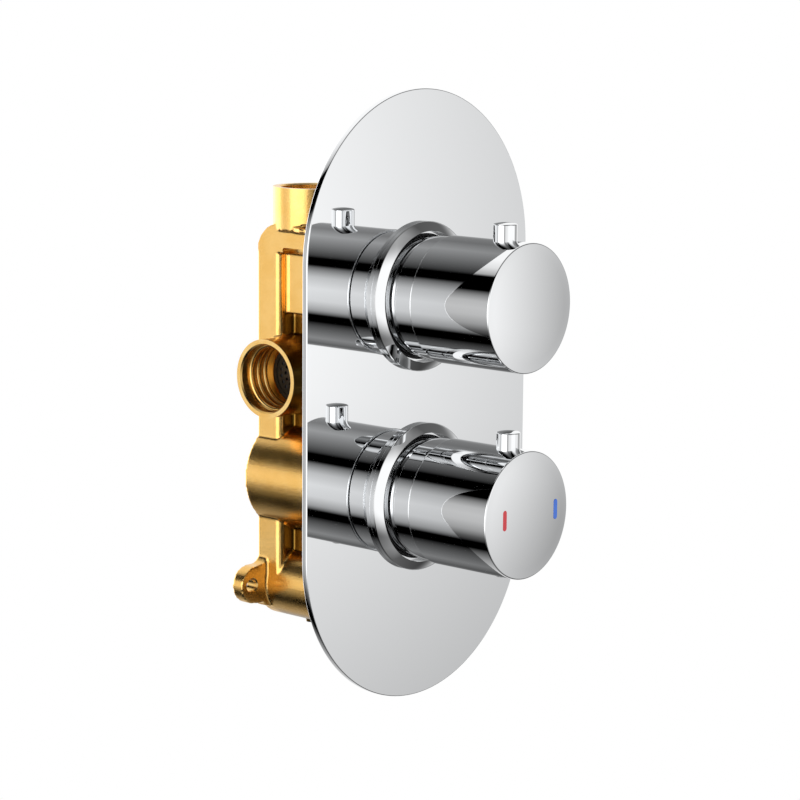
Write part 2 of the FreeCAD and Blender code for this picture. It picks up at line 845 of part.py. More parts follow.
rod_tip = adjuster.low + adjuster.clip
finish(turned("wax_element", [
    (0, wax.low),
    (wax.radius, wax.low),
    (wax.radius, wax.high),
    (wax.neck, wax.high),
    (wax.neck, wax.neck_high),
    (wax.rod, wax.neck_high),
    (wax.rod, rod_tip),
    (0, rod_tip),
]), "wax_element", temperature_spot)
finish(turned("thermostat_adjuster", [
    (adjuster.cup, adjuster.low),
    (adjuster.radius, adjuster.low),
    (adjuster.radius, adjuster.high),
    (adjuster.screw, adjuster.high),
    (adjuster.screw, adjuster.cup_floor),
    (adjuster.cup, adjuster.cup_floor),
]), "thermostat_adjuster", temperature_spot)
finish(tube("overtravel_clip", adjuster.clip_bore, adjuster.cup, adjuster.low, rod_tip),
       "overtravel_clip", temperature_spot)
plate_high = rod_tip + adjuster.plate
finish(turned("thrust_plate", rectangle(0, rod_tip, adjuster.cup - valve.fit_gap, plate_high)),
       "thrust_plate", temperature_spot)
finish(coil_spring("overtravel_spring", adjuster.spring, adjuster.spring_wire, plate_high,
                   adjuster.cup_floor, adjuster.spring_turns), "overtravel_spring", temperature_spot)

warm_spindle = turned("temperature_spindle", [
    (0, stem.low),
    (stem.screw, stem.low),
    (stem.screw, stem.flange_low),
    (stem.flange, stem.flange_low),
    (stem.flange, stem.flange_high),
    (spline.radius, stem.flange_high),
    (spline.radius, plate_front + spline.high),
    (0, plate_front + spline.high),
])
splined(warm_spindle)
finish(warm_spindle, "temperature_spindle", temperature_spot)
finish(turned("temperature_gland", [
    (spline.radius + valve.fit_gap, gland.low),
    (warm.neck_bore, gland.low),
    (warm.neck_bore, warm.neck_front),
    (spline.radius + valve.fit_gap, warm.neck_front),
    (spline.radius + valve.fit_gap, gland.groove_high),
    (gland.groove, gland.groove_high),
    (gland.groove, gland.groove_low),
    (spline.radius + valve.fit_gap, gland.groove_low),
]), "temperature_gland", temperature_spot)
gland_section = (gland.groove - spline.radius - valve.fit_gap / 2) / 2
finish(grouped("temperature_gland_seal", [
    seal_ring("temperature_gland_ring", gland.groove - gland_section, gland_section,
              (gland.groove_low + gland.groove_high) / 2),
]), "temperature_gland_seal", temperature_spot)


def ring_sector(inner, outer, centre_angle, half_angle):
    # flat sector of a ring, its two round sides as single arcs
    low, high = (radians(centre_angle + sign * half_angle) for sign in (-1, 1))
    return [
        (inner * cos(low), inner * sin(low)),
        (outer * cos(low), outer * sin(low), outer),
        (outer * cos(high), outer * sin(high)),
        (inner * cos(high), inner * sin(high), 0 - inner),
    ]


stop_bore = warm.neck + valve.press_gap
stop_body = tube("temperature_stop_ring", stop_bore, stop.ring, stop.low, stop.high)
tab_sketch = new_sketch(stop_body, lift=stop.high)
draw(tab_sketch, ring_sector(stop.tab_bore, stop.ring, -90, stop.tab_angle.value))
pad(stop_body, tab_sketch, stop.tab_high - stop.high)
finish(stop_body, "temperature_stop_ring", temperature_spot)

arm_bore = spline.radius + valve.press_gap
arm_body = tube("temperature_stop_arm", arm_bore, arm.hub, arm.low, arm.high)
arm_sketch = new_sketch(arm_body, lift=arm.low)
draw(arm_sketch, rectangle(0 - arm.half_width, arm.hub - valve.overcut, arm.half_width, arm.reach))
pad(arm_body, arm_sketch, arm.high - arm.low)
finish(arm_body, "temperature_stop_arm", temperature_spot)

# inlet check valves and filters
check = measure(
    "check",
    pocket=11.5,
    pocket_floor=1.6,
    pocket_mouth=10.5,
    radius=11.4,
    bore=9.0,
    low=3.0,
    high=9.3,
    seat=6.0,
    seat_low=8.4,
    groove_low=5.4,
    groove_high=6.8,
    groove=10.3,
    spider=1.2,
    hub=2.2,
    hub_high=5.0,
    guide=1.15,
    poppet=6.8,
    poppet_low=7.1,
    poppet_high=8.25,
    poppet_rim=0.5,
    poppet_face=5.6,
    stem_low=4.6,
    spring=4.0,
    spring_wire=0.3,
    spring_turns=3,
)
strainer = measure(
    "strainer",
    low=9.35,
    high=10.3,
    rim=9.9,
    mesh=0.5,
    hole=0.75,
    rows=3,
    row_pitch=2.5,
    row_holes=6,          # in the first row, and as many more in each row after it
)
for name, turn in inlets.items():
    housing = turned(f"{name}_check_housing", [
        (check.bore, check.low),
        (check.radius, check.low),
        (check.radius, check.groove_low),
        (check.groove, check.groove_low),
        (check.groove, check.groove_high),
        (check.radius, check.groove_high),
        (check.radius, check.high),
        (check.seat, check.high),
        (check.seat, check.seat_low),
        (check.bore, check.seat_low),
    ])
    bar_half = check.bore + valve.overcut
    for wide, high in ((check.spider, bar_half), (bar_half, check.spider)):
        bar_sketch = new_sketch(housing, lift=check.low)
        draw(bar_sketch, rectangle(0 - wide, 0 - high, wide, high))
        pad(housing, bar_sketch, check.spider)
    hub_sketch = new_sketch(housing, lift=check.low)
    draw_circle(hub_sketch, (0, 0), check.hub)
    pad(housing, hub_sketch, check.hub_high - check.low)
    guide_sketch = new_sketch(housing, lift=check.low)
    draw_circle(guide_sketch, (0, 0), check.guide + valve.fit_gap)
    pocket(housing, guide_sketch, check.hub_high - check.low)
    finish(housing, f"{name}_check_housing", inlet_spot, turn)

    finish(turned(f"{name}_check_poppet", [
        (0, check.stem_low),
        (check.guide, check.stem_low),
        (check.guide, check.poppet_low),
        (check.poppet, check.poppet_low),
        (check.poppet, check.poppet_low + check.poppet_rim),
        (check.poppet_face, check.poppet_high),
        (0, check.poppet_high),
    ]), f"{name}_check_poppet", inlet_spot, turn)
    finish(coil_spring(f"{name}_check_spring", check.spring, check.spring_wire, check.low + check.spider,
                       check.poppet_low, check.spring_turns), f"{name}_check_spring", inlet_spot, turn)
    ring_half = (check.pocket - check.groove) / 2
    finish(grouped(f"{name}_check_seal", [
        seal_ring(f"{name}_check_ring", check.pocket - ring_half, ring_half,
                  (check.groove_low + check.groove_high) / 2),
    ]), f"{name}_check_seal", inlet_spot, turn)

    filter_body = turned(f"{name}_filter", [
        (0, strainer.low),
        (check.radius, strainer.low),
        (check.radius, strainer.high),
        (strainer.rim, strainer.high),
        (strainer.rim, strainer.low + strainer.mesh),
        (0, strainer.low + strainer.mesh),
    ])
    for row in range(1, strainer.rows.value + 1):
        mesh_sketch = new_sketch(filter_body, lift=strainer.low)
        draw_circle(mesh_sketch, (row * strainer.row_pitch, 0), strainer.hole)
        ring_of(filter_body, pocket(filter_body, mesh_sketch, strainer.mesh), row * strainer.row_holes)
    finish(filter_body, f"{name}_filter", inlet_spot, turn)

# brass casting
cast = measure(
    "cast",
    half_width=15.0,      # backbone that joins the two housings
    depth=13.0,
    round=2.5,
    rear_round=1.0,
    crown=64.75,
    crown_low=53.25,       # the crown's back is one round from here up to its top
    crown_depth=31.0,
    crown_edge=2.5,
    shelf_half=11.5,      # shallow recess beside the flow housing
    shelf_low=28.6,
    web_half=7.0,
    web_depth=41.0,       # beside the mixed water channel
    foot_web_depth=27.0,
    foot_rise=-84.5,
    foot_radius=15.5,
    flow_radius=21.0,
    flow_rear=33.0,
    flow_root=18.3,
    flow_root_rear=29.0,
    band_radius=22.3,     # threaded band that carries each sleeve
    band_rear=46.0,
    lug_shift=21.8,
    lug_rise=-84.2,
    upper_lug_rise=45.0,
    lug_radius=7.8,
    lug_depth=5.5,
    lug_hole=2.75,
    lug_hole_shift=23.7,
    lug_root=3.0,         # how far a lug runs into the backbone
    blind_radius=14.2,    # undrilled second outlet
    blind_depth=29.0,
    blind_rim=17.5,
    blind_rim_low=61.6,
    blind_top=64.0,
    blind_bore=14.5,
    blind_floor=62.8,
    slot_half=1.1,        # slot under each side of the crown
    slot_rise=54.35,
    slot_floor=10.3,
    slot_end=15.4,
    nub_radius=2.0,
    nub_depth=16.5,
    nub_low=-101.3,
)
passage = measure(
    "passage",
    shift=3.6,
    radius=2.5,
    mixed=3.5,
    mixed_high=26.0,
    outlet=4.5,
    outlet_bore=10.0,
    outlet_bore_low=59.7,
    thread_low=66.0,
    low=-27.0,
)
along_x = Rotation(Vector(0, 1, 0), 90)
along_y = Rotation(Vector(1, 0, 0), -90)


def backbone():
    # square bar up the back, its front corners well rounded and its rear ones just broken
    body = doc.addObject("PartDesign::Body", "casting_backbone")
    sketch = new_sketch(body, "XZ_Plane", lift=0 - cast.crown_low)
    half, deep, bend, rear_bend = cast.half_width, cast.depth, cast.round, cast.rear_round
    draw(sketch, [
        (rear_bend - half, 0),
        (half - rear_bend, 0, rear_bend),
        (half, rear_bend),
        (half, deep - bend, bend),
        (half - bend, deep),
        (bend - half, deep, bend),
        (0 - half, deep - bend),
        (0 - half, rear_bend, rear_bend),
    ])
    pad(body, sketch, cast.crown_low - cast.foot_rise)
    return body


def crown():
    # block over the flow housing, rounded down to the back of the casting
    body = doc.addObject("PartDesign::Body", "casting_crown")
    sketch = new_sketch(body, "YZ_Plane")
    bend = cast.crown - cast.crown_low
    draw(sketch, [
        (cast.crown_low, cast.crown_depth),
        (cast.crown_low, 0, 0 - bend),
        (cast.crown, bend),
        (cast.crown, cast.crown_depth),
    ])
    slab = pad(body, sketch, 2 * cast.half_width, midplane=True)
    doc.recompute()
    long_edges = [
        f"Edge{index + 1}"
        for index, edge in enumerate(slab.Shape.Edges)
        if edge.BoundBox.XLength < edge_slack
        and edge.BoundBox.YMax > cast.crown.value - edge_slack
        and edge.BoundBox.ZMin < bend.value + edge_slack
    ]
    rounded = body.newObject("PartDesign::Fillet", "casting_crown_edges")
    rounded.Base = (slab, long_edges)
    bind(rounded, "Radius", cast.crown_edge)
    return body


def lug(name, side, rise):
    inner = (cast.half_width - cast.lug_root) * side
    outer = cast.lug_shift * side
    low, high = (inner, outer) if side > 0 else (outer, inner)
    return [
        block(f"{name}_tab", (low, rise - cast.lug_radius, 0),
              (high, rise + cast.lug_radius, cast.lug_depth)),
        rod(f"{name}_end", cast.lug_radius, cast.lug_depth, (outer, rise, 0)),
    ]


flow_rise, warm_rise = valve.axis_rise, 0 - valve.axis_rise
over = valve.overcut
# the blind outlet's shallow pocket stops at the open outlet's wall
blind_pocket = doc.addObject("Part::Cut", "blind_pocket")
blind_pocket.Base = rod("blind_core", cast.blind_bore, cast.blind_top - cast.blind_floor + over,
                        (0, cast.blind_floor, cast.blind_depth), along_y)
blind_pocket.Tool = rod("outlet_guard", outlet.radius, outlet.top - flow_rise,
                        (0, flow_rise, outlet.depth), along_y)
solids = [
    backbone(),
    crown(),
    block("casting_shelf", (0 - cast.shelf_half, cast.shelf_low, cast.depth / 2),
          (cast.shelf_half, cast.crown_low + over, cast.crown_depth)),
    block("casting_web", (0 - cast.web_half, warm_rise, cast.depth / 2),
          (cast.web_half, cast.shelf_low + over, cast.web_depth)),
    block("casting_foot_web", (0 - cast.web_half, cast.foot_rise, cast.depth / 2),
          (cast.web_half, warm_rise, cast.foot_web_depth)),
    rod("casting_foot", cast.foot_radius, cast.crown_depth, (0, cast.foot_rise, 0)),
    rod("warm_housing", cast.band_radius, seat.front, (0, warm_rise, 0)),
    rod("flow_root", cast.flow_root, seat.front - cast.flow_root_rear, (0, flow_rise, cast.flow_root_rear)),
    rod("flow_housing", cast.flow_radius, seat.front - cast.flow_rear, (0, flow_rise, cast.flow_rear)),
    rod("flow_band", cast.band_radius, seat.front - cast.band_rear, (0, flow_rise, cast.band_rear)),
    rod("inlet_tube", inlet.radius, 2 * inlet.reach, (0 - inlet.reach, inlet.rise, inlet.depth), along_x),
    rod("outlet_tube", outlet.radius, outlet.top - flow_rise, (0, flow_rise, outlet.depth), along_y),
    rod("blind_boss", cast.blind_radius, cast.blind_top - cast.crown_low,
        (0, cast.crown_low, cast.blind_depth), along_y),
    rod("blind_rim", cast.blind_rim, cast.blind_top - cast.blind_rim_low,
        (0, cast.blind_rim_low, cast.blind_depth), along_y),
    rod("casting_nub", cast.nub_radius, cast.foot_rise - cast.nub_low,
        (0, cast.nub_low, cast.nub_depth), along_y),
    *lug("lower_lug", -1, cast.lug_rise),
    *lug("upper_lug", 1, cast.upper_lug_rise),
]
hollows = [
    rod("warm_bore", warm.bore, seat.front - warm.floor + over, (0, warm_rise, warm.floor)),
    rod("warm_mouth", seat.mouth, seat.front - warm.flange_low + over, (0, warm_rise, warm.flange_low)),
    rod("flow_bore", flow.bore, seat.front - flow.floor + over, (0, flow_rise, flow.floor)),
    rod("flow_mouth", seat.mouth, seat.front - flow.flange_low + over, (0, flow_rise, flow.flange_low)),
    rod("outlet_thread", thread.radius, outlet.top - passage.thread_low + over,
        (0, passage.thread_low, outlet.depth), along_y),
    rod("outlet_bore", passage.outlet_bore, passage.thread_low - passage.outlet_bore_low + over,
        (0, passage.outlet_bore_low, outlet.depth), along_y),
    rod("outlet_channel", passage.outlet, passage.thread_low - flow_rise,
        (0, flow_rise, outlet.depth), along_y),
    rod("outlet_port", passage.outlet, flow.floor - outlet.depth + over, (0, flow_rise, outlet.depth)),
    rod("mixed_channel", passage.mixed, passage.mixed_high - passage.low,
        (0, passage.low, warm.mixed_port), along_y),
    blind_pocket,
    rod("lower_lug_hole", cast.lug_hole, cast.lug_depth + 2 * over,
        (0 - cast.lug_hole_shift, cast.lug_rise, 0 - over)),
    rod("upper_lug_hole", cast.lug_hole, cast.lug_depth + 2 * over,
        (cast.lug_hole_shift, cast.upper_lug_rise, 0 - over)),
]
for name, inner, outer in (
    ("left_slot", 0 - cast.half_width - over, 0 - cast.slot_floor),
    ("right_slot", cast.slot_floor, cast.half_width + over),
):
    hollows.append(block(name, (inner, cast.slot_rise - cast.slot_half, cast.slot_end),
                         (outer, cast.slot_rise + cast.slot_half, cast.crown_depth + over)))
    hollows.append(rod(f"{name}_end", cast.slot_half, as_size(outer) - inner,
                       (inner, cast.slot_rise, cast.slot_end), along_x))
for name, sign, port in (("hot", -1, warm.hot_port), ("cold", 1, warm.cold_port)):
    for part_name, radius, low, high in (
        ("mouth", thread.mouth, inlet.reach - thread.mouth_depth, inlet.reach + over),
        ("thread", thread.radius, check.pocket_mouth, inlet.reach),
        ("pocket", check.pocket, check.pocket_floor, check.pocket_mouth),
    ):
        start = low if sign > 0 else 0 - high
        hollows.append(rod(f"{name}_{part_name}", radius, high - low,
                           (start, inlet.rise, inlet.depth), along_x))
    hollows.append(rod(f"{name}_channel", passage.radius, inlet.rise - passage.low,
                       (passage.shift * sign, passage.low, port), along_y))

raw_casting = doc.addObject("Part::MultiFuse", "raw_casting")
raw_casting.Shapes = solids
cores = doc.addObject("Part::MultiFuse", "casting_cores")
cores.Shapes = hollows
casting = doc.addObject("Part::Cut", "valve_body")
casting.Base = raw_casting
casting.Tool = cores
finish(casting, "valve_body", bench_spot)

# check and write
doc.recompute()
for item in doc.Objects:
    if "Invalid" in item.State or "Error" in item.State:
        raise RuntimeError(f"{item.Label} did not compute: {item.State}")
    if item.TypeId == "PartDesign::Pocket":
        before, after = item.BaseFeature.Shape.Volume, item.Shape.Volume
        if after > before - 1e-3:
            raise RuntimeError(f"{item.Name} cuts nothing")

os.makedirs("parts", exist_ok=True)
for piece in pieces:
    shape = piece.Shape
    if shape.isNull() or not shape.isValid():
        raise RuntimeError(f"{piece.Label} has no valid shape")
    shape.exportStep(f"parts/{piece.Label}.step")
    print(f"{piece.Label:24s} {len(shape.Solids)} solid(s) {shape.Volume:10.1f} mm3")
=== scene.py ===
import json
from math import cos, pi, radians, sin, tan

import bmesh
import bpy
from mathutils import Matrix, Vector


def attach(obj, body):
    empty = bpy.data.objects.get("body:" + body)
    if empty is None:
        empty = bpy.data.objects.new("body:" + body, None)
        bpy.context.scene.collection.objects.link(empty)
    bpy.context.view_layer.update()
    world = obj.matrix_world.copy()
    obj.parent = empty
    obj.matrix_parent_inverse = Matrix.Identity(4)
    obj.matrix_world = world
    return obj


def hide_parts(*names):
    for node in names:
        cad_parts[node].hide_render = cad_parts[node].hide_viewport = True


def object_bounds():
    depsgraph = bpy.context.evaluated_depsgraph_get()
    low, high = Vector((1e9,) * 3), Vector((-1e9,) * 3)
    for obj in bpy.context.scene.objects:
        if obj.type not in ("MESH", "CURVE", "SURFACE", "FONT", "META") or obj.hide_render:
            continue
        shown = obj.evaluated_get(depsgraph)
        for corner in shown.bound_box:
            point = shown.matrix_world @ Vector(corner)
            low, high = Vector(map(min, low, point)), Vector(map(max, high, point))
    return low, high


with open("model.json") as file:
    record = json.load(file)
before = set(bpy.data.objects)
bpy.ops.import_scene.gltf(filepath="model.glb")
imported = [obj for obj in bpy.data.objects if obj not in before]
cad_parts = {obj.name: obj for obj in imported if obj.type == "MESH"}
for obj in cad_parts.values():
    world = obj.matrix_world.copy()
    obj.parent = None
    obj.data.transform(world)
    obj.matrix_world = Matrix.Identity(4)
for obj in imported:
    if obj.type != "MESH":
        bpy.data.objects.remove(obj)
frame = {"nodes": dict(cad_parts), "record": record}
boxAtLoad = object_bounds()
mm = 0.001
scene = bpy.context.scene
scene.view_settings.view_transform = "Standard"
print("stage: frame loaded,", len(frame["nodes"]), "nodes")


class Wire:
    # an output socket that can be used in sums, so that 1 - mask adds its own Math node
    def __init__(self, kit, socket):
        self.kit = kit
        self.socket = socket

    def maths(self, operation, other, swapped=False):
        first, second = (other, self) if swapped else (self, other)
        return self.kit.node("ShaderNodeMath", {"operation": operation}, {0: first, 1: second})

    def __add__(self, other):
        return self.maths("ADD", other)

    def __radd__(self, other):
        return self.maths("ADD", other, swapped=True)

    def __sub__(self, other):
        return self.maths("SUBTRACT", other)

    def __rsub__(self, other):
        return self.maths("SUBTRACT", other, swapped=True)

    def __mul__(self, other):
        return self.maths("MULTIPLY", other)

    def __rmul__(self, other):
        return self.maths("MULTIPLY", other, swapped=True)

    def __truediv__(self, other):
        return self.maths("DIVIDE", other)


class NodeKit:
    # adds nodes to one tree
    def __init__(self, tree):
        self.tree = tree
        tree.nodes.clear()

    def node(self, kind, settings=None, sockets=None, out=0):
        made = self.tree.nodes.new(kind)
        for name, value in (settings or {}).items():
            if name == "stops":
                self.setStops(made.color_ramp, value)
            else:
                setattr(made, name, value)
        for name, value in (sockets or {}).items():
            if isinstance(value, Wire):
                self.tree.links.new(value.socket, made.inputs[name])
            else:
                made.inputs[name].default_value = value
        return Wire(self, made.outputs[out]) if len(made.outputs) else made

    def setStops(self, ramp, stops):
        ramp.elements.remove(ramp.elements[-1])
        for index, (spot, shade) in enumerate(stops):
            stop = ramp.elements[0] if index == 0 else ramp.elements.new(spot)
            stop.position = spot
            stop.color = (*shade, 1) if isinstance(shade, tuple) else (shade, shade, shade, 1)

    def smoothStep(self, value, low, high, start=0.0, end=1.0):
        return self.node("ShaderNodeMapRange", {"interpolation_type": "SMOOTHSTEP"},
                         {"Value": value, "From Min": low, "From Max": high, "To Min": start, "To Max": end})

    def fade(self, value, low, high):
        return self.smoothStep(value, low, high, 1.0, 0.0)

    def size(self, value):
        return self.node("ShaderNodeMath", {"operation": "ABSOLUTE"}, {0: value})

    def split(self, vector):
        parts = self.node("ShaderNodeSeparateXYZ", None, {0: vector})
        return [Wire(self, socket) for socket in parts.socket.node.outputs]

    def blendColour(self, factor, first, second):
        return self.node("ShaderNodeMix", {"data_type": "RGBA"}, {0: factor, 6: first, 7: second}, out=2)

    def noise(self, where, size, detail=2.0, roughness=0.5):
        # size is the grain's own size in metres
        return self.node("ShaderNodeTexNoise", None,
                         {"Vector": where, "Scale": 1 / size, "Detail": detail, "Roughness": roughness})


# camera at the photograph's own viewing angle
camera = {
    "azimuth": -48.54,
    "elevation": 9.5,
    "roll": 0.45,
    "focal": 116.69,
    "distance": 1.01504,
    "target": (-0.01211, -0.0025, 0.00006),
    "film": 36,
    "nearest": 0.05,
}


def addCamera():
    turn, tilt = radians(camera["azimuth"]), radians(camera["elevation"])
    back = Vector((sin(turn) * cos(tilt), -cos(turn) * cos(tilt), sin(tilt)))
    right = (-back).cross(Vector((0, 0, 1))).normalized()
    up = right.cross(-back)
    roll = radians(camera["roll"])
    levelRight = right * cos(roll) + up * sin(roll)
    levelUp = up * cos(roll) - right * sin(roll)
    eye = bpy.data.objects.new("camera", bpy.data.cameras.new("camera"))
    scene.collection.objects.link(eye)
    turned = Matrix((levelRight, levelUp, back)).transposed().to_4x4()
    turned.translation = Vector(camera["target"]) + back * camera["distance"]
    eye.matrix_world = turned
    eye.data.lens = camera["focal"]
    eye.data.sensor_width = camera["film"]
    eye.data.clip_start = camera["nearest"]
    scene.camera = eye


# studio: white all round, with long black cards above left and below left of the handles' axes.
# Each list gives the level at an angle round the handles' axes: 0 is left, 90 up, -90 down.
studio = {
    "plainLevel": 0.92,
    "front": [(-180, 0.85), (-168, 0.95), (-159, 0.70), (-152, 0.24), (-135, 0.12), (-110, 0.26),
              (-77, 0.08), (-65, 0.0), (-50, 0.0), (-40, 0.38), (-22, 0.72), (0, 0.80), (21, 0.58),
              (38, 0.16), (43, 0.0), (58, 0.0), (63, 0.05), (110, 0.36), (136, 0.21), (160, 0.27),
              (172, 0.42), (180, 0.85)],
    "behind": [(-180, 1.0), (-140, 0.8), (-113, 0.55), (-89, 0.32), (-68, 0.05), (-64, 0.0),
               (-50, 0.0), (-40, 0.10), (-28, 0.34), (-12, 0.52), (0, 0.56), (12, 0.50), (22, 0.26),
               (31, 0.0), (58, 0.0), (62, 0.42), (76, 0.80), (95, 1.0), (180, 1.0)],
    "straightAhead": 1.05,
    "aheadFade": (0.32, 0.60),     # how far off the axis the patch straight ahead fades away
    "fall": (-0.70, -0.55),        # the front grows darker over this stretch of depth
    "fallLevel": (1.12, 0.445),
    "turnOver": (-0.25, 0.25),     # where the front list gives way to the one behind
    "sideGlow": 1.6,               # soft light from the left, which the casting faces
    "sideFrom": (-0.95, -0.72),
    "sideDepth": (0.30, 0.55),
    "sideHeight": (0.25, 0.6),
    "rearGlow": 1.1,               # and from straight behind
    "rearFrom": (0.80, 0.95),
    "rearHeight": (0.3, 0.7),
    "floorDrop": 0.30,
    "floorReach": 6.0,
}


def addStudio():
    world = bpy.data.worlds.new("studio")
    scene.world = world
    world.use_nodes = True
    world.cycles.sampling_method = "NONE"
    kit = NodeKit(world.node_tree)
    direction = kit.node("ShaderNodeTexCoord", out="Generated")
    x, y, z = kit.split(direction)
    around = kit.node("ShaderNodeMath", {"operation": "ARCTAN2"}, {0: z, 1: x * -1})
    place = around / (2 * pi) + 0.5
    levels = []
    for side in ("front", "behind"):
        stops = [((angle + 180) / 360, level) for angle, level in studio[side]]
        levels.append(kit.node("ShaderNodeValToRGB", {"stops": stops}, {0: place}))
    (nearY, farY), (nearLevel, farLevel) = studio["fall"], studio["fallLevel"]
    fall = kit.node("ShaderNodeMapRange", None, {"Value": y, "From Min": nearY, "From Max": farY,
                                                 "To Min": nearLevel, "To Max": farLevel})
    behind = kit.smoothStep(y, *studio["turnOver"])
    banded = levels[0] * fall * (1 - behind) + levels[1] * behind
    sideways = kit.node("ShaderNodeMath", {"operation": "SQRT"}, {0: x * x + z * z})
    ahead = kit.fade(sideways, *studio["aheadFade"])
    banded = banded * (1 - ahead) + ahead * studio["straightAhead"]
    height = kit.size(z)
    glow = kit.fade(x, *studio["sideFrom"]) * kit.fade(kit.size(y), *studio["sideDepth"])
    glow = glow * kit.fade(height, *studio["sideHeight"])
    rear = kit.smoothStep(y, *studio["rearFrom"]) * kit.fade(height, *studio["rearHeight"])
    banded = banded + glow * studio["sideGlow"] + rear * studio["rearGlow"]
    path = kit.node("ShaderNodeLightPath")
    seen = {socket.name: Wire(kit, socket) for socket in path.socket.node.outputs}
    camRay, diffuseRay = seen["Is Camera Ray"], seen["Is Diffuse Ray"]
    glossyLevel = banded * (1 - diffuseRay) + diffuseRay * studio["plainLevel"]
    strength = camRay + (1 - camRay) * glossyLevel
    back = kit.node("ShaderNodeBackground", None, {"Color": (1, 1, 1, 1), "Strength": strength})
    kit.node("ShaderNodeOutputWorld", None, {"Surface": back})

    floor = bpy.data.objects.new("floor", bpy.data.meshes.new("floor"))
    low = boxAtLoad[0][2] - studio["floorDrop"]
    reach = studio["floorReach"]
    floor.data.from_pydata([(-reach, -reach, low), (reach, -reach, low), (reach, reach, low),
                            (-reach, reach, low)], [], [(0, 1, 2, 3)])
    scene.collection.objects.link(floor)
    floor.visible_glossy = False
    floor.data.materials.append(paleFloor())


sideLamp = {"way": (-0.74, 0.66, -0.06), "away": 0.9, "wide": 0.62, "high": 0.42, "power": 0.36}


def addSideLamp(lit):
    lamp = bpy.data.objects.new("side_lamp", bpy.data.lights.new("side_lamp", "AREA"))
    scene.collection.objects.link(lamp)
    lamp.data.shape = "RECTANGLE"
    lamp.data.size = sideLamp["wide"]
    lamp.data.size_y = sideLamp["high"]
    lamp.data.energy = sideLamp["power"]
    way = Vector(sideLamp["way"]).normalized()
    lamp.location = way * sideLamp["away"]
    lamp.rotation_euler = way.to_track_quat("Z", "Y").to_euler()
    receivers = bpy.data.collections.new("side_lit")
    for piece in lit:
        receivers.objects.link(piece)
    lamp.light_linking.receiver_collection = receivers


def newMaterial(name):
    material = bpy.data.materials.new(name)
    material.use_nodes = True
    return material, NodeKit(material.node_tree)


def paleFloor():
    material, kit = newMaterial("pale_floor")
    path = kit.node("ShaderNodeLightPath", out="Is Camera Ray")
    white = kit.node("ShaderNodeEmission", None, {"Color": (1, 1, 1, 1), "Strength": 1.0})
    matt = kit.node("ShaderNodeBsdfDiffuse", None, {"Color": (0.85, 0.85, 0.85, 1)})
    mixed = kit.node("ShaderNodeMixShader", None, {0: path, 1: matt, 2: white})
    kit.node("ShaderNodeOutputMaterial", None, {"Surface": mixed})
    return material


def closeMaterial(kit, sockets):
    surface = kit.node("ShaderNodeBsdfPrincipled", None, sockets)
    kit.node("ShaderNodeOutputMaterial", None, {"Surface": surface})


chrome = {"tint": (0.93, 0.94, 0.95, 1), "rough": 0.012, "haze": 0.022, "hazeSize": 0.03,
          "wipeSize": 0.0025}


def polishedChrome():
    material, kit = newMaterial("polished_chrome")
    where = kit.node("ShaderNodeTexCoord", out="Object")
    haze = kit.noise(where, chrome["hazeSize"], detail=3)
    wipe = kit.noise(where, chrome["wipeSize"], detail=2)
    closeMaterial(kit, {"Base Color": chrome["tint"], "Metallic": 1.0,
                        "Roughness": haze * wipe * chrome["haze"] + chrome["rough"]})
    return material


brass = {
    "bright": (0.95, 0.60, 0.205, 1),
    "deep": (0.89, 0.52, 0.14, 1),
    "machined": (0.95, 0.67, 0.28, 1),
    # painted shade: the near black brown that the recesses are darkened towards, and how far
    "paintedShade": (0.20, 0.11, 0.012, 1),
    "paintedShadeStrength": 0.88,
    "grain": 0.00055,              # sizes of the cast skin's features, in metres
    "pit": 0.00143,
    "patch": 0.012,
    "grainDepth": 0.00012,
    "castRough": 0.17,
    "streak": 0.0011,              # and of the turned faces'
    "turnedPatch": 0.009,
    "streakDepth": 0.00004,
    "turnedRough": 0.16,
    "recessTop": (0.026, 0.0285),  # where the painted shade in the recesses ends, in metres in the part's frame
    "recessHalf": (0.0075, 0.0125),
    "recessBack": (0.064, 0.070),
    "gapBack": (0.046, 0.0545),
    "gapFoot": (-0.020, -0.0165),
}


def castBrass():
    # sand cast skin: fine grain, with patches where the flux has left it duller
    material, kit = newMaterial("cast_brass")
    where = kit.node("ShaderNodeTexCoord", out="Object")
    grain = kit.noise(where, brass["grain"], detail=3, roughness=0.6)
    pits = kit.noise(where, brass["pit"], detail=2)
    patch = kit.noise(where, brass["patch"], detail=3)
    tone = kit.smoothStep(patch * 0.6 + grain * 0.4, 0.32, 0.66)
    colour = kit.blendColour(tone, brass["deep"], brass["bright"])
    # painted shade: the recess floors beside the webs and the casting's front near the faceplate are darkened
    # towards a near black brown, where shade falls between the parts
    across, deep, rise = kit.split(where)
    below = kit.fade(rise, *brass["recessTop"])
    floor = kit.fade(kit.size(across), *brass["recessHalf"]) * below * kit.fade(deep, *brass["recessBack"])
    gap = kit.fade(deep, *brass["gapBack"]) * below * kit.smoothStep(rise, *brass["gapFoot"])
    shade = kit.node("ShaderNodeMath", {"operation": "MAXIMUM"}, {0: floor, 1: gap})
    colour = kit.blendColour(shade * brass["paintedShadeStrength"], colour, brass["paintedShade"])
    bump = kit.node("ShaderNodeBump", None, {"Strength": 0.4, "Distance": brass["grainDepth"],
                                             "Height": grain * 0.6 + pits * 0.7})
    closeMaterial(kit, {"Base Color": colour, "Metallic": 1.0,
                        "Roughness": brass["castRough"] + patch * 0.07 + grain * 0.06, "Normal": bump})
    return material


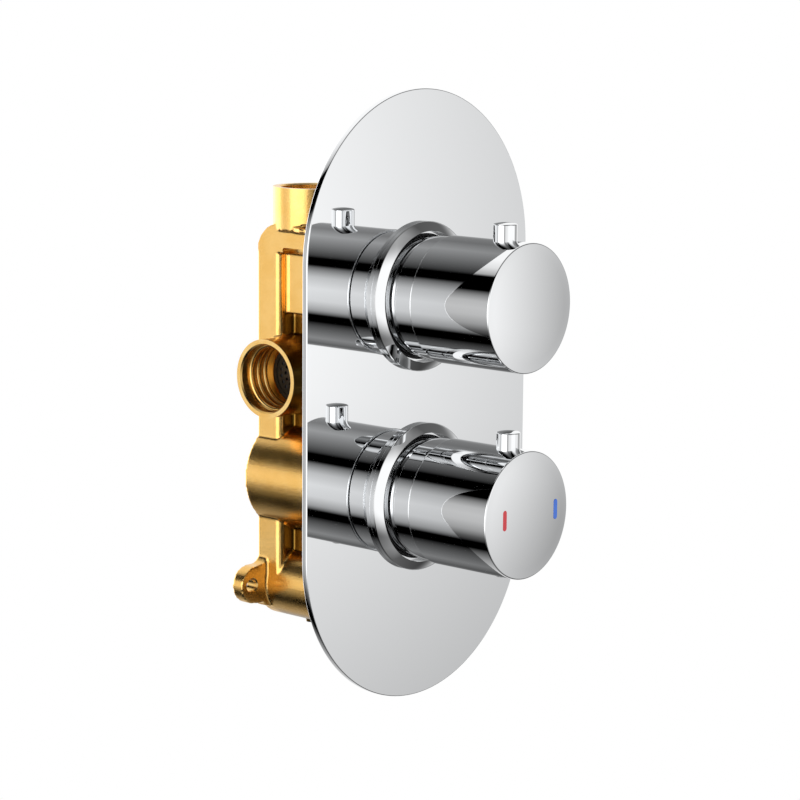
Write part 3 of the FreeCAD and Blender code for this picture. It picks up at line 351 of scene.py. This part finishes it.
def machinedBrass():
    # bored and turned faces: smooth, with faint marks of the tool
    material, kit = newMaterial("machined_brass")
    where = kit.node("ShaderNodeTexCoord", out="Object")
    streak = kit.noise(where, brass["streak"], detail=4, roughness=0.7)
    patch = kit.noise(where, brass["turnedPatch"], detail=2)
    colour = kit.blendColour(kit.smoothStep(patch, 0.3, 0.7), brass["deep"], brass["machined"])
    bump = kit.node("ShaderNodeBump", None, {"Strength": 0.2, "Distance": brass["streakDepth"],
                                             "Height": streak})
    closeMaterial(kit, {"Base Color": colour, "Metallic": 1.0,
                        "Roughness": brass["turnedRough"] + patch * 0.12, "Normal": bump})
    return material


def mottled(name, light, dark, size, rough, metallic=0.0, depth=0.00003, coat=0.0):
    # moulded and ground finishes: two close tones, a fine grain and uneven gloss
    material, kit = newMaterial(name)
    where = kit.node("ShaderNodeTexCoord", out="Object")
    grain = kit.noise(where, size, detail=3)
    cloud = kit.noise(where, size * 14, detail=2)
    colour = kit.blendColour(kit.smoothStep(cloud * 0.7 + grain * 0.3, 0.3, 0.7), (*dark, 1), (*light, 1))
    bump = kit.node("ShaderNodeBump", None, {"Strength": 0.3, "Distance": depth, "Height": grain})
    closeMaterial(kit, {"Base Color": colour, "Metallic": metallic, "Roughness": cloud * 0.12 + rough,
                        "Coat Weight": coat, "Normal": bump})
    return material


finishes = {
    "chrome_plate": polishedChrome(),
    "cast_brass": castBrass(),
    "turned_brass": machinedBrass(),
    "element_copper": mottled("element_copper", (0.78, 0.42, 0.27), (0.62, 0.30, 0.18), 0.0008, 0.28, 1.0),
    "disc_ceramic": mottled("disc_ceramic", (0.90, 0.89, 0.86), (0.82, 0.80, 0.76), 0.0004, 0.22),
    "seal_rubber": mottled("seal_rubber", (0.022, 0.022, 0.024), (0.012, 0.012, 0.013), 0.0003, 0.5),
    "foam_gasket": mottled("foam_gasket", (0.05, 0.05, 0.05), (0.02, 0.02, 0.02), 0.0009, 0.85,
                           depth=0.0003),
    "spring_steel": mottled("spring_steel", (0.62, 0.62, 0.63), (0.48, 0.48, 0.50), 0.0005, 0.25, 1.0),
    "cartridge_plastic": mottled("cartridge_plastic", (0.74, 0.74, 0.70), (0.66, 0.65, 0.61), 0.0005, 0.42),
    "adapter_plastic": mottled("adapter_plastic", (0.05, 0.05, 0.055), (0.03, 0.03, 0.033), 0.0004, 0.4),
    "hot_red": mottled("hot_red", (0.74, 0.035, 0.05), (0.66, 0.025, 0.04), 0.0006, 0.22, coat=0.5),
    "cold_blue": mottled("cold_blue", (0.05, 0.20, 0.76), (0.04, 0.15, 0.68), 0.0006, 0.22, coat=0.5),
}
# near black back of the faceplate: a dull back, kept this dark as painted shade, so that the casting's
# recesses, which mirror it, stay dark
dullShadedBack = mottled("dull_shaded_back", (0.075, 0.07, 0.06), (0.05, 0.045, 0.04), 0.0012, 0.55)
# painted shade: the strainers' mesh is made near black brown, as it lies in shade deep in the inlets
shadedStrainer = mottled("strainer_painted_shade", (0.10, 0.085, 0.06), (0.05, 0.04, 0.03), 0.0006, 0.5, 1.0)
print("stage: finishes made")


def smoothMesh(mesh, angle=40):
    mesh.shade_smooth()
    mesh.set_sharp_from_angle(angle=radians(angle))


def addPiece(name, mesh, body, slot, nodes=()):
    mesh.name = name
    piece = bpy.data.objects.new(name, mesh)
    scene.collection.objects.link(piece)
    if not mesh.materials:
        mesh.materials.append(finishes[slot])
    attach(piece, body)
    if nodes:
        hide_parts(*nodes)
    return piece


def rounded(corners, steps=5, support=0.12, most=0.42):
    # corners (across, along, bend) become points: each bend an arc, with a close point each side
    # of it, so that the long faces between them reflect as true ones; most is the largest share
    # of a side that a bend takes up
    points = []
    count = len(corners)
    for index, (across, along, bend) in enumerate(corners):
        here = Vector((across, along))
        if bend <= 0:
            points.append(here)
            continue
        before = Vector(corners[index - 1][:2])
        after = Vector(corners[(index + 1) % count][:2])
        toBefore, toAfter = before - here, after - here
        half = toBefore.angle(toAfter) / 2
        reach = min(bend / tan(half), most * toBefore.length, most * toAfter.length)
        bend = reach * tan(half)
        centre = here + (toBefore.normalized() + toAfter.normalized()).normalized() * (bend / sin(half))
        start = here + toBefore.normalized() * reach
        end = here + toAfter.normalized() * reach
        guard = min(support, 0.1 * toBefore.length, 0.1 * toAfter.length)
        points.append(start + toBefore.normalized() * guard)
        fromCentre, toCentre = start - centre, end - centre
        for step in range(steps + 1):
            share = step / steps
            mixed = (fromCentre * (1 - share) + toCentre * share).normalized() * bend
            points.append(centre + mixed)
        points.append(end + toAfter.normalized() * guard)
    return points


def placed(axis, spot):
    # turns a piece whose axis is Z so that it lies along the named one, at a spot in millimetres
    turns = {
        "+Z": Matrix.Identity(4),
        "-Z": Matrix.Rotation(pi, 4, "X"),
        "+Y": Matrix.Rotation(-pi / 2, 4, "X"),
        "+X": Matrix.Rotation(pi / 2, 4, "Y"),
        "-X": Matrix.Rotation(-pi / 2, 4, "Y"),
    }
    return Matrix.Translation(Vector(spot) * mm) @ turns[axis]


def turnedMesh(points, axis, spot, around=240):
    # spins a closed outline of (radius, along) round the axis
    grid = bmesh.new()
    rings = []
    for radius, along in points:
        if radius < 1e-6:
            rings.append([grid.verts.new((0, 0, along * mm))])
            continue
        turns = [2 * pi * step / around for step in range(around)]
        rings.append([grid.verts.new((radius * cos(turn) * mm, radius * sin(turn) * mm, along * mm))
                      for turn in turns])
    for index, ring in enumerate(rings):
        following = rings[(index + 1) % len(rings)]
        if len(ring) == 1 and len(following) == 1:
            continue
        for step in range(around):
            ahead = (step + 1) % around
            if len(ring) == 1:
                grid.faces.new((ring[0], following[ahead], following[step]))
            elif len(following) == 1:
                grid.faces.new((ring[step], ring[ahead], following[0]))
            else:
                grid.faces.new((ring[step], ring[ahead], following[ahead], following[step]))
    bmesh.ops.recalc_face_normals(grid, faces=grid.faces)
    grid.transform(placed(axis, spot))
    mesh = bpy.data.meshes.new("turned")
    grid.to_mesh(mesh)
    grid.free()
    smoothMesh(mesh)
    return mesh


# faceplate: a tall plate with round ends, its front edge softly broken
plate = {"halfWidth": 65.0, "halfHeight": 121.0, "thick": 2.5, "hole": 25.95, "rise": 40.0,
         "edge": 0.35, "backGap": 0.05, "level": 0.9999}


def slotOutline(halfWidth, halfHeight, steps, shift=(0, 0)):
    straight = halfHeight - halfWidth
    points = []
    for start, rise in ((0, straight), (180, -straight)):
        for step in range(steps + 1):
            turn = radians(start + 180 * step / steps)
            points.append((shift[0] + halfWidth * cos(turn), shift[1] + rise + halfWidth * sin(turn)))
    return points


def flatPlate(name, outlines, low, high, edge):
    # a sheet in the wall's plane with holes and rounded edges, from a filled curve; low and high
    # are its two faces' places along Y, in millimetres
    curve = bpy.data.curves.new(name, "CURVE")
    curve.dimensions = "2D"
    curve.fill_mode = "BOTH"
    curve.extrude = ((high - low) / 2 - edge) * mm
    curve.bevel_depth = edge * mm
    curve.bevel_resolution = 3
    curve.offset = -edge * mm
    for outline in outlines:
        spline = curve.splines.new("POLY")
        spline.points.add(len(outline) - 1)
        for point, (across, up) in zip(spline.points, outline):
            point.co = (across * mm, up * mm, 0, 1)
        spline.use_cyclic_u = True
    holder = bpy.data.objects.new(name, curve)
    scene.collection.objects.link(holder)
    bpy.context.view_layer.update()
    mesh = bpy.data.meshes.new_from_object(holder.evaluated_get(bpy.context.evaluated_depsgraph_get()))
    bpy.data.objects.remove(holder)
    grid = bmesh.new()
    grid.from_mesh(mesh)
    bmesh.ops.remove_doubles(grid, verts=grid.verts, dist=1e-6)
    bmesh.ops.recalc_face_normals(grid, faces=grid.faces)
    grid.transform(Matrix.Translation((0, (low + high) / 2 * mm, 0)) @ Matrix.Rotation(pi / 2, 4, "X"))
    grid.to_mesh(mesh)
    grid.free()
    smoothMesh(mesh, 50)
    for face in mesh.polygons:
        # the two flat sides mirror as true planes, and the back one has a near black finish of its own: a
        # dull back, darkened as painted shade so that the recesses that mirror it stay dark
        face.use_smooth = abs(face.normal.y) < plate["level"]
        face.material_index = 1 if face.normal.y > plate["level"] else 0
    return mesh


def addFaceplate():
    outline = slotOutline(plate["halfWidth"], plate["halfHeight"], 128)
    holes = [[(plate["hole"] * cos(2 * pi * step / 160), rise + plate["hole"] * sin(2 * pi * step / 160))
              for step in range(160)] for rise in (plate["rise"], -plate["rise"])]
    # its back lies a hair in front of the wall, so that the gasket's back shows in it
    mesh = flatPlate("faceplate_skin", [outline, *holes], -plate["thick"], -plate["backGap"], plate["edge"])
    mesh.materials.append(finishes["chrome_plate"])
    mesh.materials.append(dullShadedBack)
    addPiece("faceplate_skin", mesh, "valve", "chrome_plate", ["faceplate"])


collar = {"throat": 24.7, "spigot": 25.9, "radius": 29.5, "rise": 4.0, "sideRise": 2.0,
          "brow": 29.35, "lip": 25.8, "throatRise": 1.1, "steps": 12}
sleeve = {"bore": 22.35, "rear": 25.0, "neck": 23.4, "neckFront": 5.0, "shoulder": 23.8,
          "shoulderFront": 8.0, "radius": 24.3, "front": 15.6}


def addCollars():
    front = plate["thick"]
    # the front slopes out from the side to the lip round the seal, ever more gently
    crown = []
    for step in range(collar["steps"] + 1):
        share = step / collar["steps"]
        across = collar["brow"] - (collar["brow"] - collar["lip"]) * share
        climb = share * (1.1 - 0.1 * share)
        crown.append((across, front + collar["sideRise"] + (collar["rise"] - collar["sideRise"]) * climb, 0))
    outline = [(collar["throat"], 0, 0.1), (collar["spigot"], 0, 0.1), (collar["spigot"], front, 0.05),
               (collar["radius"], front, 0.12), (collar["radius"], front + collar["sideRise"] - 0.2, 0.06),
               *crown, (collar["lip"], front + collar["throatRise"], 0.08),
               (collar["throat"], front + collar["throatRise"], 0.15)]
    tube = [(sleeve["bore"], -sleeve["rear"], 0.15), (sleeve["neck"], -sleeve["rear"], 0.15),
            (sleeve["neck"], front + sleeve["neckFront"], 0.06),
            (sleeve["shoulder"], front + sleeve["neckFront"], 0.15),
            (sleeve["shoulder"], front + sleeve["shoulderFront"], 0.06),
            (sleeve["radius"], front + sleeve["shoulderFront"], 0.15),
            (sleeve["radius"], front + sleeve["front"], 0.3),
            (sleeve["bore"], front + sleeve["front"], 0.15)]
    for side, rise in (("flow", plate["rise"]), ("temperature", -plate["rise"])):
        for name, corners in (("collar", outline), ("sleeve", tube)):
            points = [Vector((point.x, -point.y)) for point in rounded(corners)]
            mesh = turnedMesh(points, "+Y", (0, 0, rise))
            addPiece(f"{side}_{name}_skin", mesh, "valve", "chrome_plate", [f"{side}_{name}"])


handle = {"radius": 25.0, "rear": 18.5, "front": 57.5, "bore": 22.8, "inner": 54.5, "edge": 0.45,
          "crown": 0.42, "boss": 11.0, "bossBore": 8.1, "bossRear": 33.5, "bossFloor": 51.5,
          "facets": 300}
lever = {"radius": 4.65, "flange": 5.6, "flangeLow": 20.5, "flangeHigh": 22.0, "sideTop": 31.3,
         "topIn": 0.2, "topDrop": 0.55, "domeTop": 32.0, "flowReach": 44.5, "temperatureReach": 47.5,
         "facets": 120}
plug = {"radius": 3.0, "reach": 45.9, "low": 22.9, "sideTop": 25.5, "topIn": 0.1, "topDrop": 0.35,
        "domeTop": 25.9, "facets": 96}
mark = {"halfWidth": 1.1, "halfHeight": 4.0, "hot": -13.5, "cold": 17.5, "front": 57.44, "rear": 57.0}


def crownedFace(radius, front, drop, steps=14):
    # a very slightly domed face, from its edge to the axis
    ball = radius * radius / (2 * drop)
    return [(radius * (1 - step / steps), front - (radius * (1 - step / steps)) ** 2 / (2 * ball), 0)
            for step in range(1, steps + 1)]


def addHandles():
    face = handle["radius"] - handle["edge"]
    edgeFront = handle["front"] - handle["crown"]
    dome = crownedFace(face, handle["front"], handle["crown"])
    shell = [(0, handle["bossFloor"], 0), (handle["bossBore"], handle["bossFloor"], 0.2),
             (handle["bossBore"], handle["bossRear"], 0.3), (handle["boss"], handle["bossRear"], 0.3),
             (handle["boss"], handle["inner"], 0.3), (handle["bore"], handle["inner"], 0.3),
             (handle["bore"], handle["rear"], 0.25), (handle["radius"], handle["rear"], 0.4),
             (handle["radius"], edgeFront, handle["edge"]), *dome]
    pin = [(0, lever["flangeLow"], 0), (lever["flange"], lever["flangeLow"], 0.15),
           (lever["flange"], lever["flangeHigh"], 0.15), (lever["radius"], lever["flangeHigh"], 0.1),
           (lever["radius"], lever["sideTop"], 0.75),
           *crownedFace(lever["radius"] - lever["topIn"], lever["domeTop"], lever["topDrop"], 8)]
    stud = [(0, plug["low"], 0), (plug["radius"], plug["low"], 0.1),
            (plug["radius"], plug["sideTop"], 0.5),
            *crownedFace(plug["radius"] - plug["topIn"], plug["domeTop"], plug["topDrop"], 6)]
    for side, rise in (("flow", plate["rise"]), ("temperature", -plate["rise"])):
        body = f"{side}_control"
        points = [Vector((point.x, -point.y)) for point in rounded(shell)]
        mesh = turnedMesh(points, "+Y", (0, 0, rise), handle["facets"])
        addPiece(f"{side}_handle_skin", mesh, body, "chrome_plate", [f"{side}_handle"])
        mesh = turnedMesh(rounded(pin), "+Z", (0, -lever[f"{side}Reach"], rise), lever["facets"])
        addPiece(f"{side}_lever_pin_skin", mesh, body, "chrome_plate", [f"{side}_lever_pin"])
        way = "-Z" if side == "temperature" else "+X"
        mesh = turnedMesh(rounded(stud), way, (0, -plug["reach"], rise), plug["facets"])
        addPiece(f"{side}_plug_skin", mesh, body, "chrome_plate", [f"{side}_plug"])
    for name, slot in (("hot", "hot_red"), ("cold", "cold_blue")):
        outline = slotOutline(mark["halfWidth"], mark["halfHeight"], 24, (mark[name], -plate["rise"]))
        mesh = flatPlate(f"{name}_mark_skin", [outline], -mark["front"], -mark["rear"], 0.12)
        addPiece(f"{name}_mark_skin", mesh, "temperature_control", slot, [f"{name}_mark"])


# brass casting, in millimetres: the solid forms are melted together, then the ports are bored
cast = {
    "halfWidth": 15.0, "back": 73.0, "backboneFront": 60.0, "crownLow": 53.25, "crownTop": 64.75,
    "crownFront": 42.0, "shelfHalf": 11.5, "shelfLow": 28.6, "webHalf": 7.0, "webFront": 32.0,
    "footWebFront": 46.0, "footRise": -84.5, "footRadius": 15.5, "bandRadius": 22.3,
    "flowRadius": 21.0, "flowRear": 40.0, "flowRoot": 18.3, "flowRootRear": 44.0, "housingFront": 13.0,
    "bandRear": 27.0, "inletRadius": 16.0, "inletReach": 27.0, "inletDepth": 56.8, "inletRise": 3.5,
    "outletRadius": 16.2, "outletDepth": 56.0, "outletFoot": 62.5, "outletTop": 79.6, "blindRadius": 14.2,
    "blindDepth": 44.0, "blindRim": 17.5, "blindRimLow": 62.3, "blindTop": 64.0, "blindBore": 14.5,
    "blindFloor": 62.8, "slotHalf": 1.1, "slotRise": 54.35, "slotFloor": 10.3, "slotEnd": 57.6,
    "slotFront": 40.0, "slotOuter": 17.0,
    "lugHoleShift": 23.7, "lugShift": 21.8, "lowerLug": -84.2, "upperLug": 45.0,
    "lugRadius": 7.8, "lugFront": 67.5, "nubRadius": 2.2, "nubDepth": 56.5, "nubLow": -101.6,
    "backBend": 1.0, "frontBend": 2.6, "valleyBend": 1.2, "valleySink": 0.3,
    "lugFlare": [(11.0, 3.0), (15.2, 2.2), (16.6, 0.6), (18.4, 0.0)],
    "buried": 66.0,                # the webs run on to here, inside the backbone
    "overlap": 1.0,
    "trim": 2.0,                   # cut off again, so that the ports' ends are square
    "pocketGap": 0.25,
    "voxel": 0.5, "meltRounds": 3, "keep": 0.30, "quickVoxel": 1.5, "quickKeep": 1.6,
}


def slab(grid, low, high):
    made = bmesh.ops.create_cube(grid, size=1.0)
    size = [(b - a) * mm for a, b in zip(low, high)]
    middle = [(a + b) / 2 * mm for a, b in zip(low, high)]
    bmesh.ops.scale(grid, verts=made["verts"], vec=size)
    bmesh.ops.translate(grid, verts=made["verts"], vec=middle)


def drum(grid, radius, length, axis, spot, around=96):
    # a cylinder that starts at the spot and runs along the axis
    made = bmesh.ops.create_cone(grid, cap_ends=True, segments=around, radius1=radius * mm,
                                 radius2=radius * mm, depth=length * mm)
    bmesh.ops.translate(grid, verts=made["verts"], vec=(0, 0, length * mm / 2))
    bmesh.ops.transform(grid, verts=made["verts"], matrix=placed(axis, spot))


def extruded(grid, outline, low, high, plane):
    # an outline in the YZ, XZ or XY plane, drawn out along the third axis
    def corner(first, second, along):
        spots = {"YZ": (along, first, second), "XZ": (first, along, second), "XY": (first, second, along)}
        return grid.verts.new([value * mm for value in spots[plane]])
    bottom = [corner(*point, low) for point in outline]
    top = [corner(*point, high) for point in outline]
    count = len(outline)
    faces = [grid.faces.new(bottom), grid.faces.new(top)]
    for index in range(count):
        ahead = (index + 1) % count
        faces.append(grid.faces.new((bottom[index], bottom[ahead], top[ahead], top[index])))
    bmesh.ops.recalc_face_normals(grid, faces=faces)


def lugOutline(side, rise):
    # a round ended tab that widens where it grows out of the casting
    outer, radius = cast["lugShift"], cast["lugRadius"]
    points = [(across, rise - radius - wide) for across, wide in cast["lugFlare"]]
    for step in range(25):
        turn = radians(-90 + 180 * step / 24)
        points.append((outer + radius * cos(turn), rise + radius * sin(turn)))
    points += [(across, rise + radius + wide) for across, wide in reversed(cast["lugFlare"])]
    return [(across * side, up) for across, up in points]


def castingForms():
    grid = bmesh.new()
    half, back, front = cast["halfWidth"], cast["back"], cast["backboneFront"]
    joint = cast["crownLow"] + cast["overlap"]
    # backbone with round front corners
    corners = [(-half, back, cast["backBend"]), (half, back, cast["backBend"]),
               (half, front, cast["frontBend"]), (-half, front, cast["frontBend"])]
    extruded(grid, rounded(corners, steps=8), cast["footRise"], joint, "XY")
    # crown, rounded down to the back
    bend = cast["crownTop"] - cast["crownLow"]
    arc = [(back - bend + bend * sin(radians(turn)), cast["crownLow"] + bend * cos(radians(turn)))
           for turn in range(0, 91, 6)]
    extruded(grid, [(cast["crownFront"], cast["crownLow"]), (cast["crownFront"], cast["crownTop"]), *arc],
             -half, half, "YZ")
    # shelf in front of the backbone, with a small hollow where they meet
    slab(grid, (-cast["shelfHalf"], cast["crownFront"], cast["shelfLow"]),
         (cast["shelfHalf"], cast["buried"], joint))
    bend = cast["valleyBend"]
    for side in (-1, 1):
        valley = [(cast["shelfHalf"] - cast["overlap"], front - cast["valleySink"])]
        valley += [(cast["shelfHalf"] + bend * (1 - sin(radians(turn))), front - bend * cos(radians(turn)))
                   for turn in range(90, -1, -15)]
        extruded(grid, [(across * side, along) for across, along in valley], cast["shelfLow"], joint, "XY")
    slab(grid, (-cast["webHalf"], cast["webFront"], -plate["rise"]),
         (cast["webHalf"], cast["buried"], cast["shelfLow"] + cast["overlap"]))
    slab(grid, (-cast["webHalf"], cast["footWebFront"], cast["footRise"]),
         (cast["webHalf"], cast["buried"], -plate["rise"]))
    outward = cast["housingFront"]
    drum(grid, cast["footRadius"], back - cast["crownFront"], "+Y", (0, cast["crownFront"], cast["footRise"]))
    drum(grid, cast["bandRadius"], back - outward, "+Y", (0, outward, -plate["rise"]), 160)
    drum(grid, cast["flowRoot"], cast["flowRootRear"] - outward, "+Y", (0, outward, plate["rise"]))
    drum(grid, cast["flowRadius"], cast["flowRear"] - outward, "+Y", (0, outward, plate["rise"]))
    drum(grid, cast["bandRadius"], cast["bandRear"] - outward, "+Y", (0, outward, plate["rise"]))
    extra = cast["trim"]
    drum(grid, cast["inletRadius"], 2 * (cast["inletReach"] + extra), "+X",
         (-cast["inletReach"] - extra, cast["inletDepth"], cast["inletRise"]), 160)
    drum(grid, cast["outletRadius"], cast["outletTop"] + extra - cast["outletFoot"], "+Z",
         (0, cast["outletDepth"], cast["outletFoot"]), 160)
    drum(grid, cast["blindRadius"], cast["blindTop"] - cast["crownLow"], "+Z",
         (0, cast["blindDepth"], cast["crownLow"]), 128)
    drum(grid, cast["blindRim"], cast["blindTop"] - cast["blindRimLow"], "+Z",
         (0, cast["blindDepth"], cast["blindRimLow"]), 160)
    drum(grid, cast["nubRadius"], cast["footRise"] - cast["nubLow"], "+Z",
         (0, cast["nubDepth"], cast["nubLow"]), 32)
    extruded(grid, lugOutline(-1, cast["lowerLug"]), cast["lugFront"], back, "XZ")
    extruded(grid, lugOutline(1, cast["upperLug"]), cast["lugFront"], back, "XZ")
    mesh = bpy.data.meshes.new("casting_forms")
    grid.to_mesh(mesh)
    grid.free()
    return mesh


def pocketOutline():
    # the blind outlet's shallow round pocket, stopped at the open outlet's wall
    reach, wall = cast["blindBore"], cast["outletRadius"] + cast["pocketGap"]
    centre = Vector((0, cast["outletDepth"]))
    points = []
    for step in range(97):
        turn = radians(90 + 360 * step / 96)
        spot = Vector((reach * cos(turn), cast["blindDepth"] + reach * sin(turn)))
        if (spot - centre).length >= wall:
            points.append(spot)
    start, end = points[-1], points[0]
    for step in range(1, 40):
        ray = (start - centre) * (1 - step / 40) + (end - centre) * (step / 40)
        points.append(centre + ray.normalized() * wall)
    return points


# what a machine takes out of the raw casting: outlines of radius and reach along each bore's own
# axis, in millimetres from the middle of the casting or, for the last three, from the wall
bores = {
    "inlet": [(0, 1.6), (11.5, 1.6), (11.5, 10.5), (13.2, 10.5), (13.2, 22.1), (13.6, 22.5), (13.6, 26.4),
              (14.2, 27.0), (17.5, 27.0), (17.5, 31.0), (0, 31.0)],
    "outlet": [(0, 59.7), (10.0, 59.7), (10.0, 66.0), (13.2, 66.0), (13.2, 79.0), (13.8, 79.6),
               (17.6, 79.6), (17.6, 83.6), (0, 83.6)],
    "thermostat": [(0, 10), (18.5, 10), (18.5, 27), (16.2, 27), (16.2, 69), (0, 69)],
    "flow": [(0, 10), (18.5, 10), (18.5, 23.5), (15.2, 23.5), (15.2, 41.5), (0, 41.5)],
    "lug": [(0, 60), (3.3, 60), (3.3, 67.5), (2.75, 68), (2.75, 75), (0, 75)],
}


def borings():
    # one mesh of closed cutters
    inlet = (0, cast["inletDepth"], cast["inletRise"])
    tools = [("inlet", "-X", inlet), ("inlet", "+X", inlet), ("outlet", "+Z", (0, cast["outletDepth"], 0)),
             ("thermostat", "+Y", (0, 0, -plate["rise"])), ("flow", "+Y", (0, 0, plate["rise"])),
             ("lug", "+Y", (-cast["lugHoleShift"], 0, cast["lowerLug"])),
             ("lug", "+Y", (cast["lugHoleShift"], 0, cast["upperLug"]))]
    joined = bmesh.new()
    for name, way, spot in tools:
        mesh = turnedMesh(bores[name], way, spot, 144)
        joined.from_mesh(mesh)
        bpy.data.meshes.remove(mesh)
    # a slot under each side of the crown
    half, end, rise = cast["slotHalf"], cast["slotEnd"], cast["slotRise"]
    slot = [(end + half * sin(radians(turn)), rise - half * cos(radians(turn))) for turn in range(0, 181, 15)]
    slot += [(cast["slotFront"], rise + half), (cast["slotFront"], rise - half)]
    for inner, outer in ((-cast["slotOuter"], -cast["slotFloor"]), (cast["slotFloor"], cast["slotOuter"])):
        extruded(joined, slot, inner, outer, "YZ")
    extruded(joined, pocketOutline(), cast["blindFloor"], cast["blindTop"] + 3 * cast["overlap"], "XY")
    mesh = bpy.data.meshes.new("borings")
    joined.to_mesh(mesh)
    joined.free()
    return mesh


def settled(holder):
    # the object's evaluated mesh, and the object itself taken away
    bpy.context.view_layer.update()
    depsgraph = bpy.context.evaluated_depsgraph_get()
    mesh = bpy.data.meshes.new_from_object(holder.evaluated_get(depsgraph), depsgraph=depsgraph)
    bpy.data.objects.remove(holder)
    return mesh


brassPieces = []


def addCasting():
    holder = bpy.data.objects.new("casting", castingForms())
    scene.collection.objects.link(holder)
    melt = holder.modifiers.new("melt", "REMESH")
    melt.mode = "VOXEL"
    melt.voxel_size = cast["voxel"] * mm * 1
    soften = holder.modifiers.new("soften", "SMOOTH")
    soften.factor = 0.5
    soften.iterations = cast["meltRounds"]
    thin = holder.modifiers.new("thin", "DECIMATE")
    thin.ratio = cast["keep"] * 1
    mesh = settled(holder)
    mesh.materials.clear()
    mesh.materials.append(finishes["cast_brass"])
    print("stage: casting melted,", len(mesh.polygons), "faces")
    holder = bpy.data.objects.new("casting", mesh)
    scene.collection.objects.link(holder)
    cutter = bpy.data.objects.new("borings", borings())
    scene.collection.objects.link(cutter)
    cutter.data.materials.append(finishes["turned_brass"])
    bore = holder.modifiers.new("bore", "BOOLEAN")
    bore.operation = "DIFFERENCE"
    bore.solver = "EXACT"
    bore.material_mode = "TRANSFER"
    bore.object = cutter
    mesh = settled(holder)
    bpy.data.objects.remove(cutter)
    smoothMesh(mesh, 35)
    brassPieces.append(addPiece("casting_skin", mesh, "valve", "cast_brass", ["valve_body"]))
    print("stage: casting bored,", len(mesh.polygons), "faces")


# pipe threads: one helix of rounded crests in each port
thread = {"wall": 13.35, "crest": 1.35, "pitch": 3.8, "inletStart": 10.9, "inletTurns": 3.05,
          "outletStart": 68.0, "outletTurns": 2.4}


def threadTree():
    tree = bpy.data.node_groups.new("thread_crests", "GeometryNodeTree")
    for name, kind in (("Wall", "NodeSocketFloat"), ("Crest", "NodeSocketFloat"),
                       ("Pitch", "NodeSocketFloat"), ("Turns", "NodeSocketFloat"),
                       ("Finish", "NodeSocketMaterial")):
        tree.interface.new_socket(name, in_out="INPUT", socket_type=kind)
    tree.interface.new_socket("Geometry", in_out="OUTPUT", socket_type="NodeSocketGeometry")
    kit = NodeKit(tree)
    given = kit.node("NodeGroupInput")
    size = {socket.name: Wire(kit, socket) for socket in given.socket.node.outputs if socket.name}
    spiral = kit.node("GeometryNodeCurveSpiral", None,
                      {"Resolution": 96, "Rotations": size["Turns"], "Start Radius": size["Wall"],
                       "End Radius": size["Wall"], "Height": size["Pitch"] * size["Turns"]})
    ridge = kit.node("GeometryNodeCurvePrimitiveCircle", None, {"Resolution": 14, "Radius": size["Crest"]},
                     out="Curve")
    swept = kit.node("GeometryNodeCurveToMesh", None,
                     {"Curve": spiral, "Profile Curve": ridge, "Fill Caps": True})
    smooth = kit.node("GeometryNodeSetShadeSmooth", None, {"Geometry": swept})
    real = kit.node("GeometryNodeRealizeInstances", None, {"Geometry": smooth})
    dressed = kit.node("GeometryNodeSetMaterial", None, {"Geometry": real, "Material": size["Finish"]})
    kit.node("NodeGroupOutput", None, {"Geometry": dressed})
    return tree


def addThreads():
    tree = threadTree()
    ports = [
        ("inlet_left_thread", "-X", (0, cast["inletDepth"], cast["inletRise"]), "inlet"),
        ("inlet_right_thread", "+X", (0, cast["inletDepth"], cast["inletRise"]), "inlet"),
        ("outlet_thread", "+Z", (0, cast["outletDepth"], 0), "outlet"),
    ]
    for name, way, spot, port in ports:
        holder = bpy.data.objects.new(name, bpy.data.meshes.new(name))
        scene.collection.objects.link(holder)
        crests = holder.modifiers.new("crests", "NODES")
        crests.node_group = tree
        given = {"Wall": thread["wall"] * mm, "Crest": thread["crest"] * mm,
                 "Pitch": thread["pitch"] * mm, "Turns": thread[f"{port}Turns"],
                 "Finish": finishes["turned_brass"]}
        for item in tree.interface.items_tree:
            if item.in_out == "INPUT":
                crests[item.identifier] = given[item.name]
        mesh = settled(holder)
        mesh.transform(placed(way, spot) @ Matrix.Translation((0, 0, thread[f"{port}Start"] * mm)))
        brassPieces.append(addPiece(name, mesh, "valve", "turned_brass"))


def dressNodes():
    # every node that keeps its own shape takes the finish that its record names
    for entry in frame["record"]["subparts"]:
        for holder in frame["nodes"][entry["node"]].material_slots:
            holder.material = finishes[entry["material_slot"]]
    # the strainers take the near black painted shade finish, and the check housings and poppets the dark
    # adapter plastic
    for side in ("hot", "cold"):
        for piece, finish in (("filter", shadedStrainer), ("check_housing", finishes["adapter_plastic"]),
                              ("check_poppet", finishes["adapter_plastic"])):
            for holder in frame["nodes"][f"{side}_{piece}"].material_slots:
                holder.material = finish


addCamera()
addStudio()
dressNodes()
print("stage: camera, studio and node finishes set")
addFaceplate()
addCollars()
addHandles()
print("stage: chrome pieces made")
addCasting()
addThreads()
addSideLamp(brassPieces)
print("stage: threads cut, casting lit")
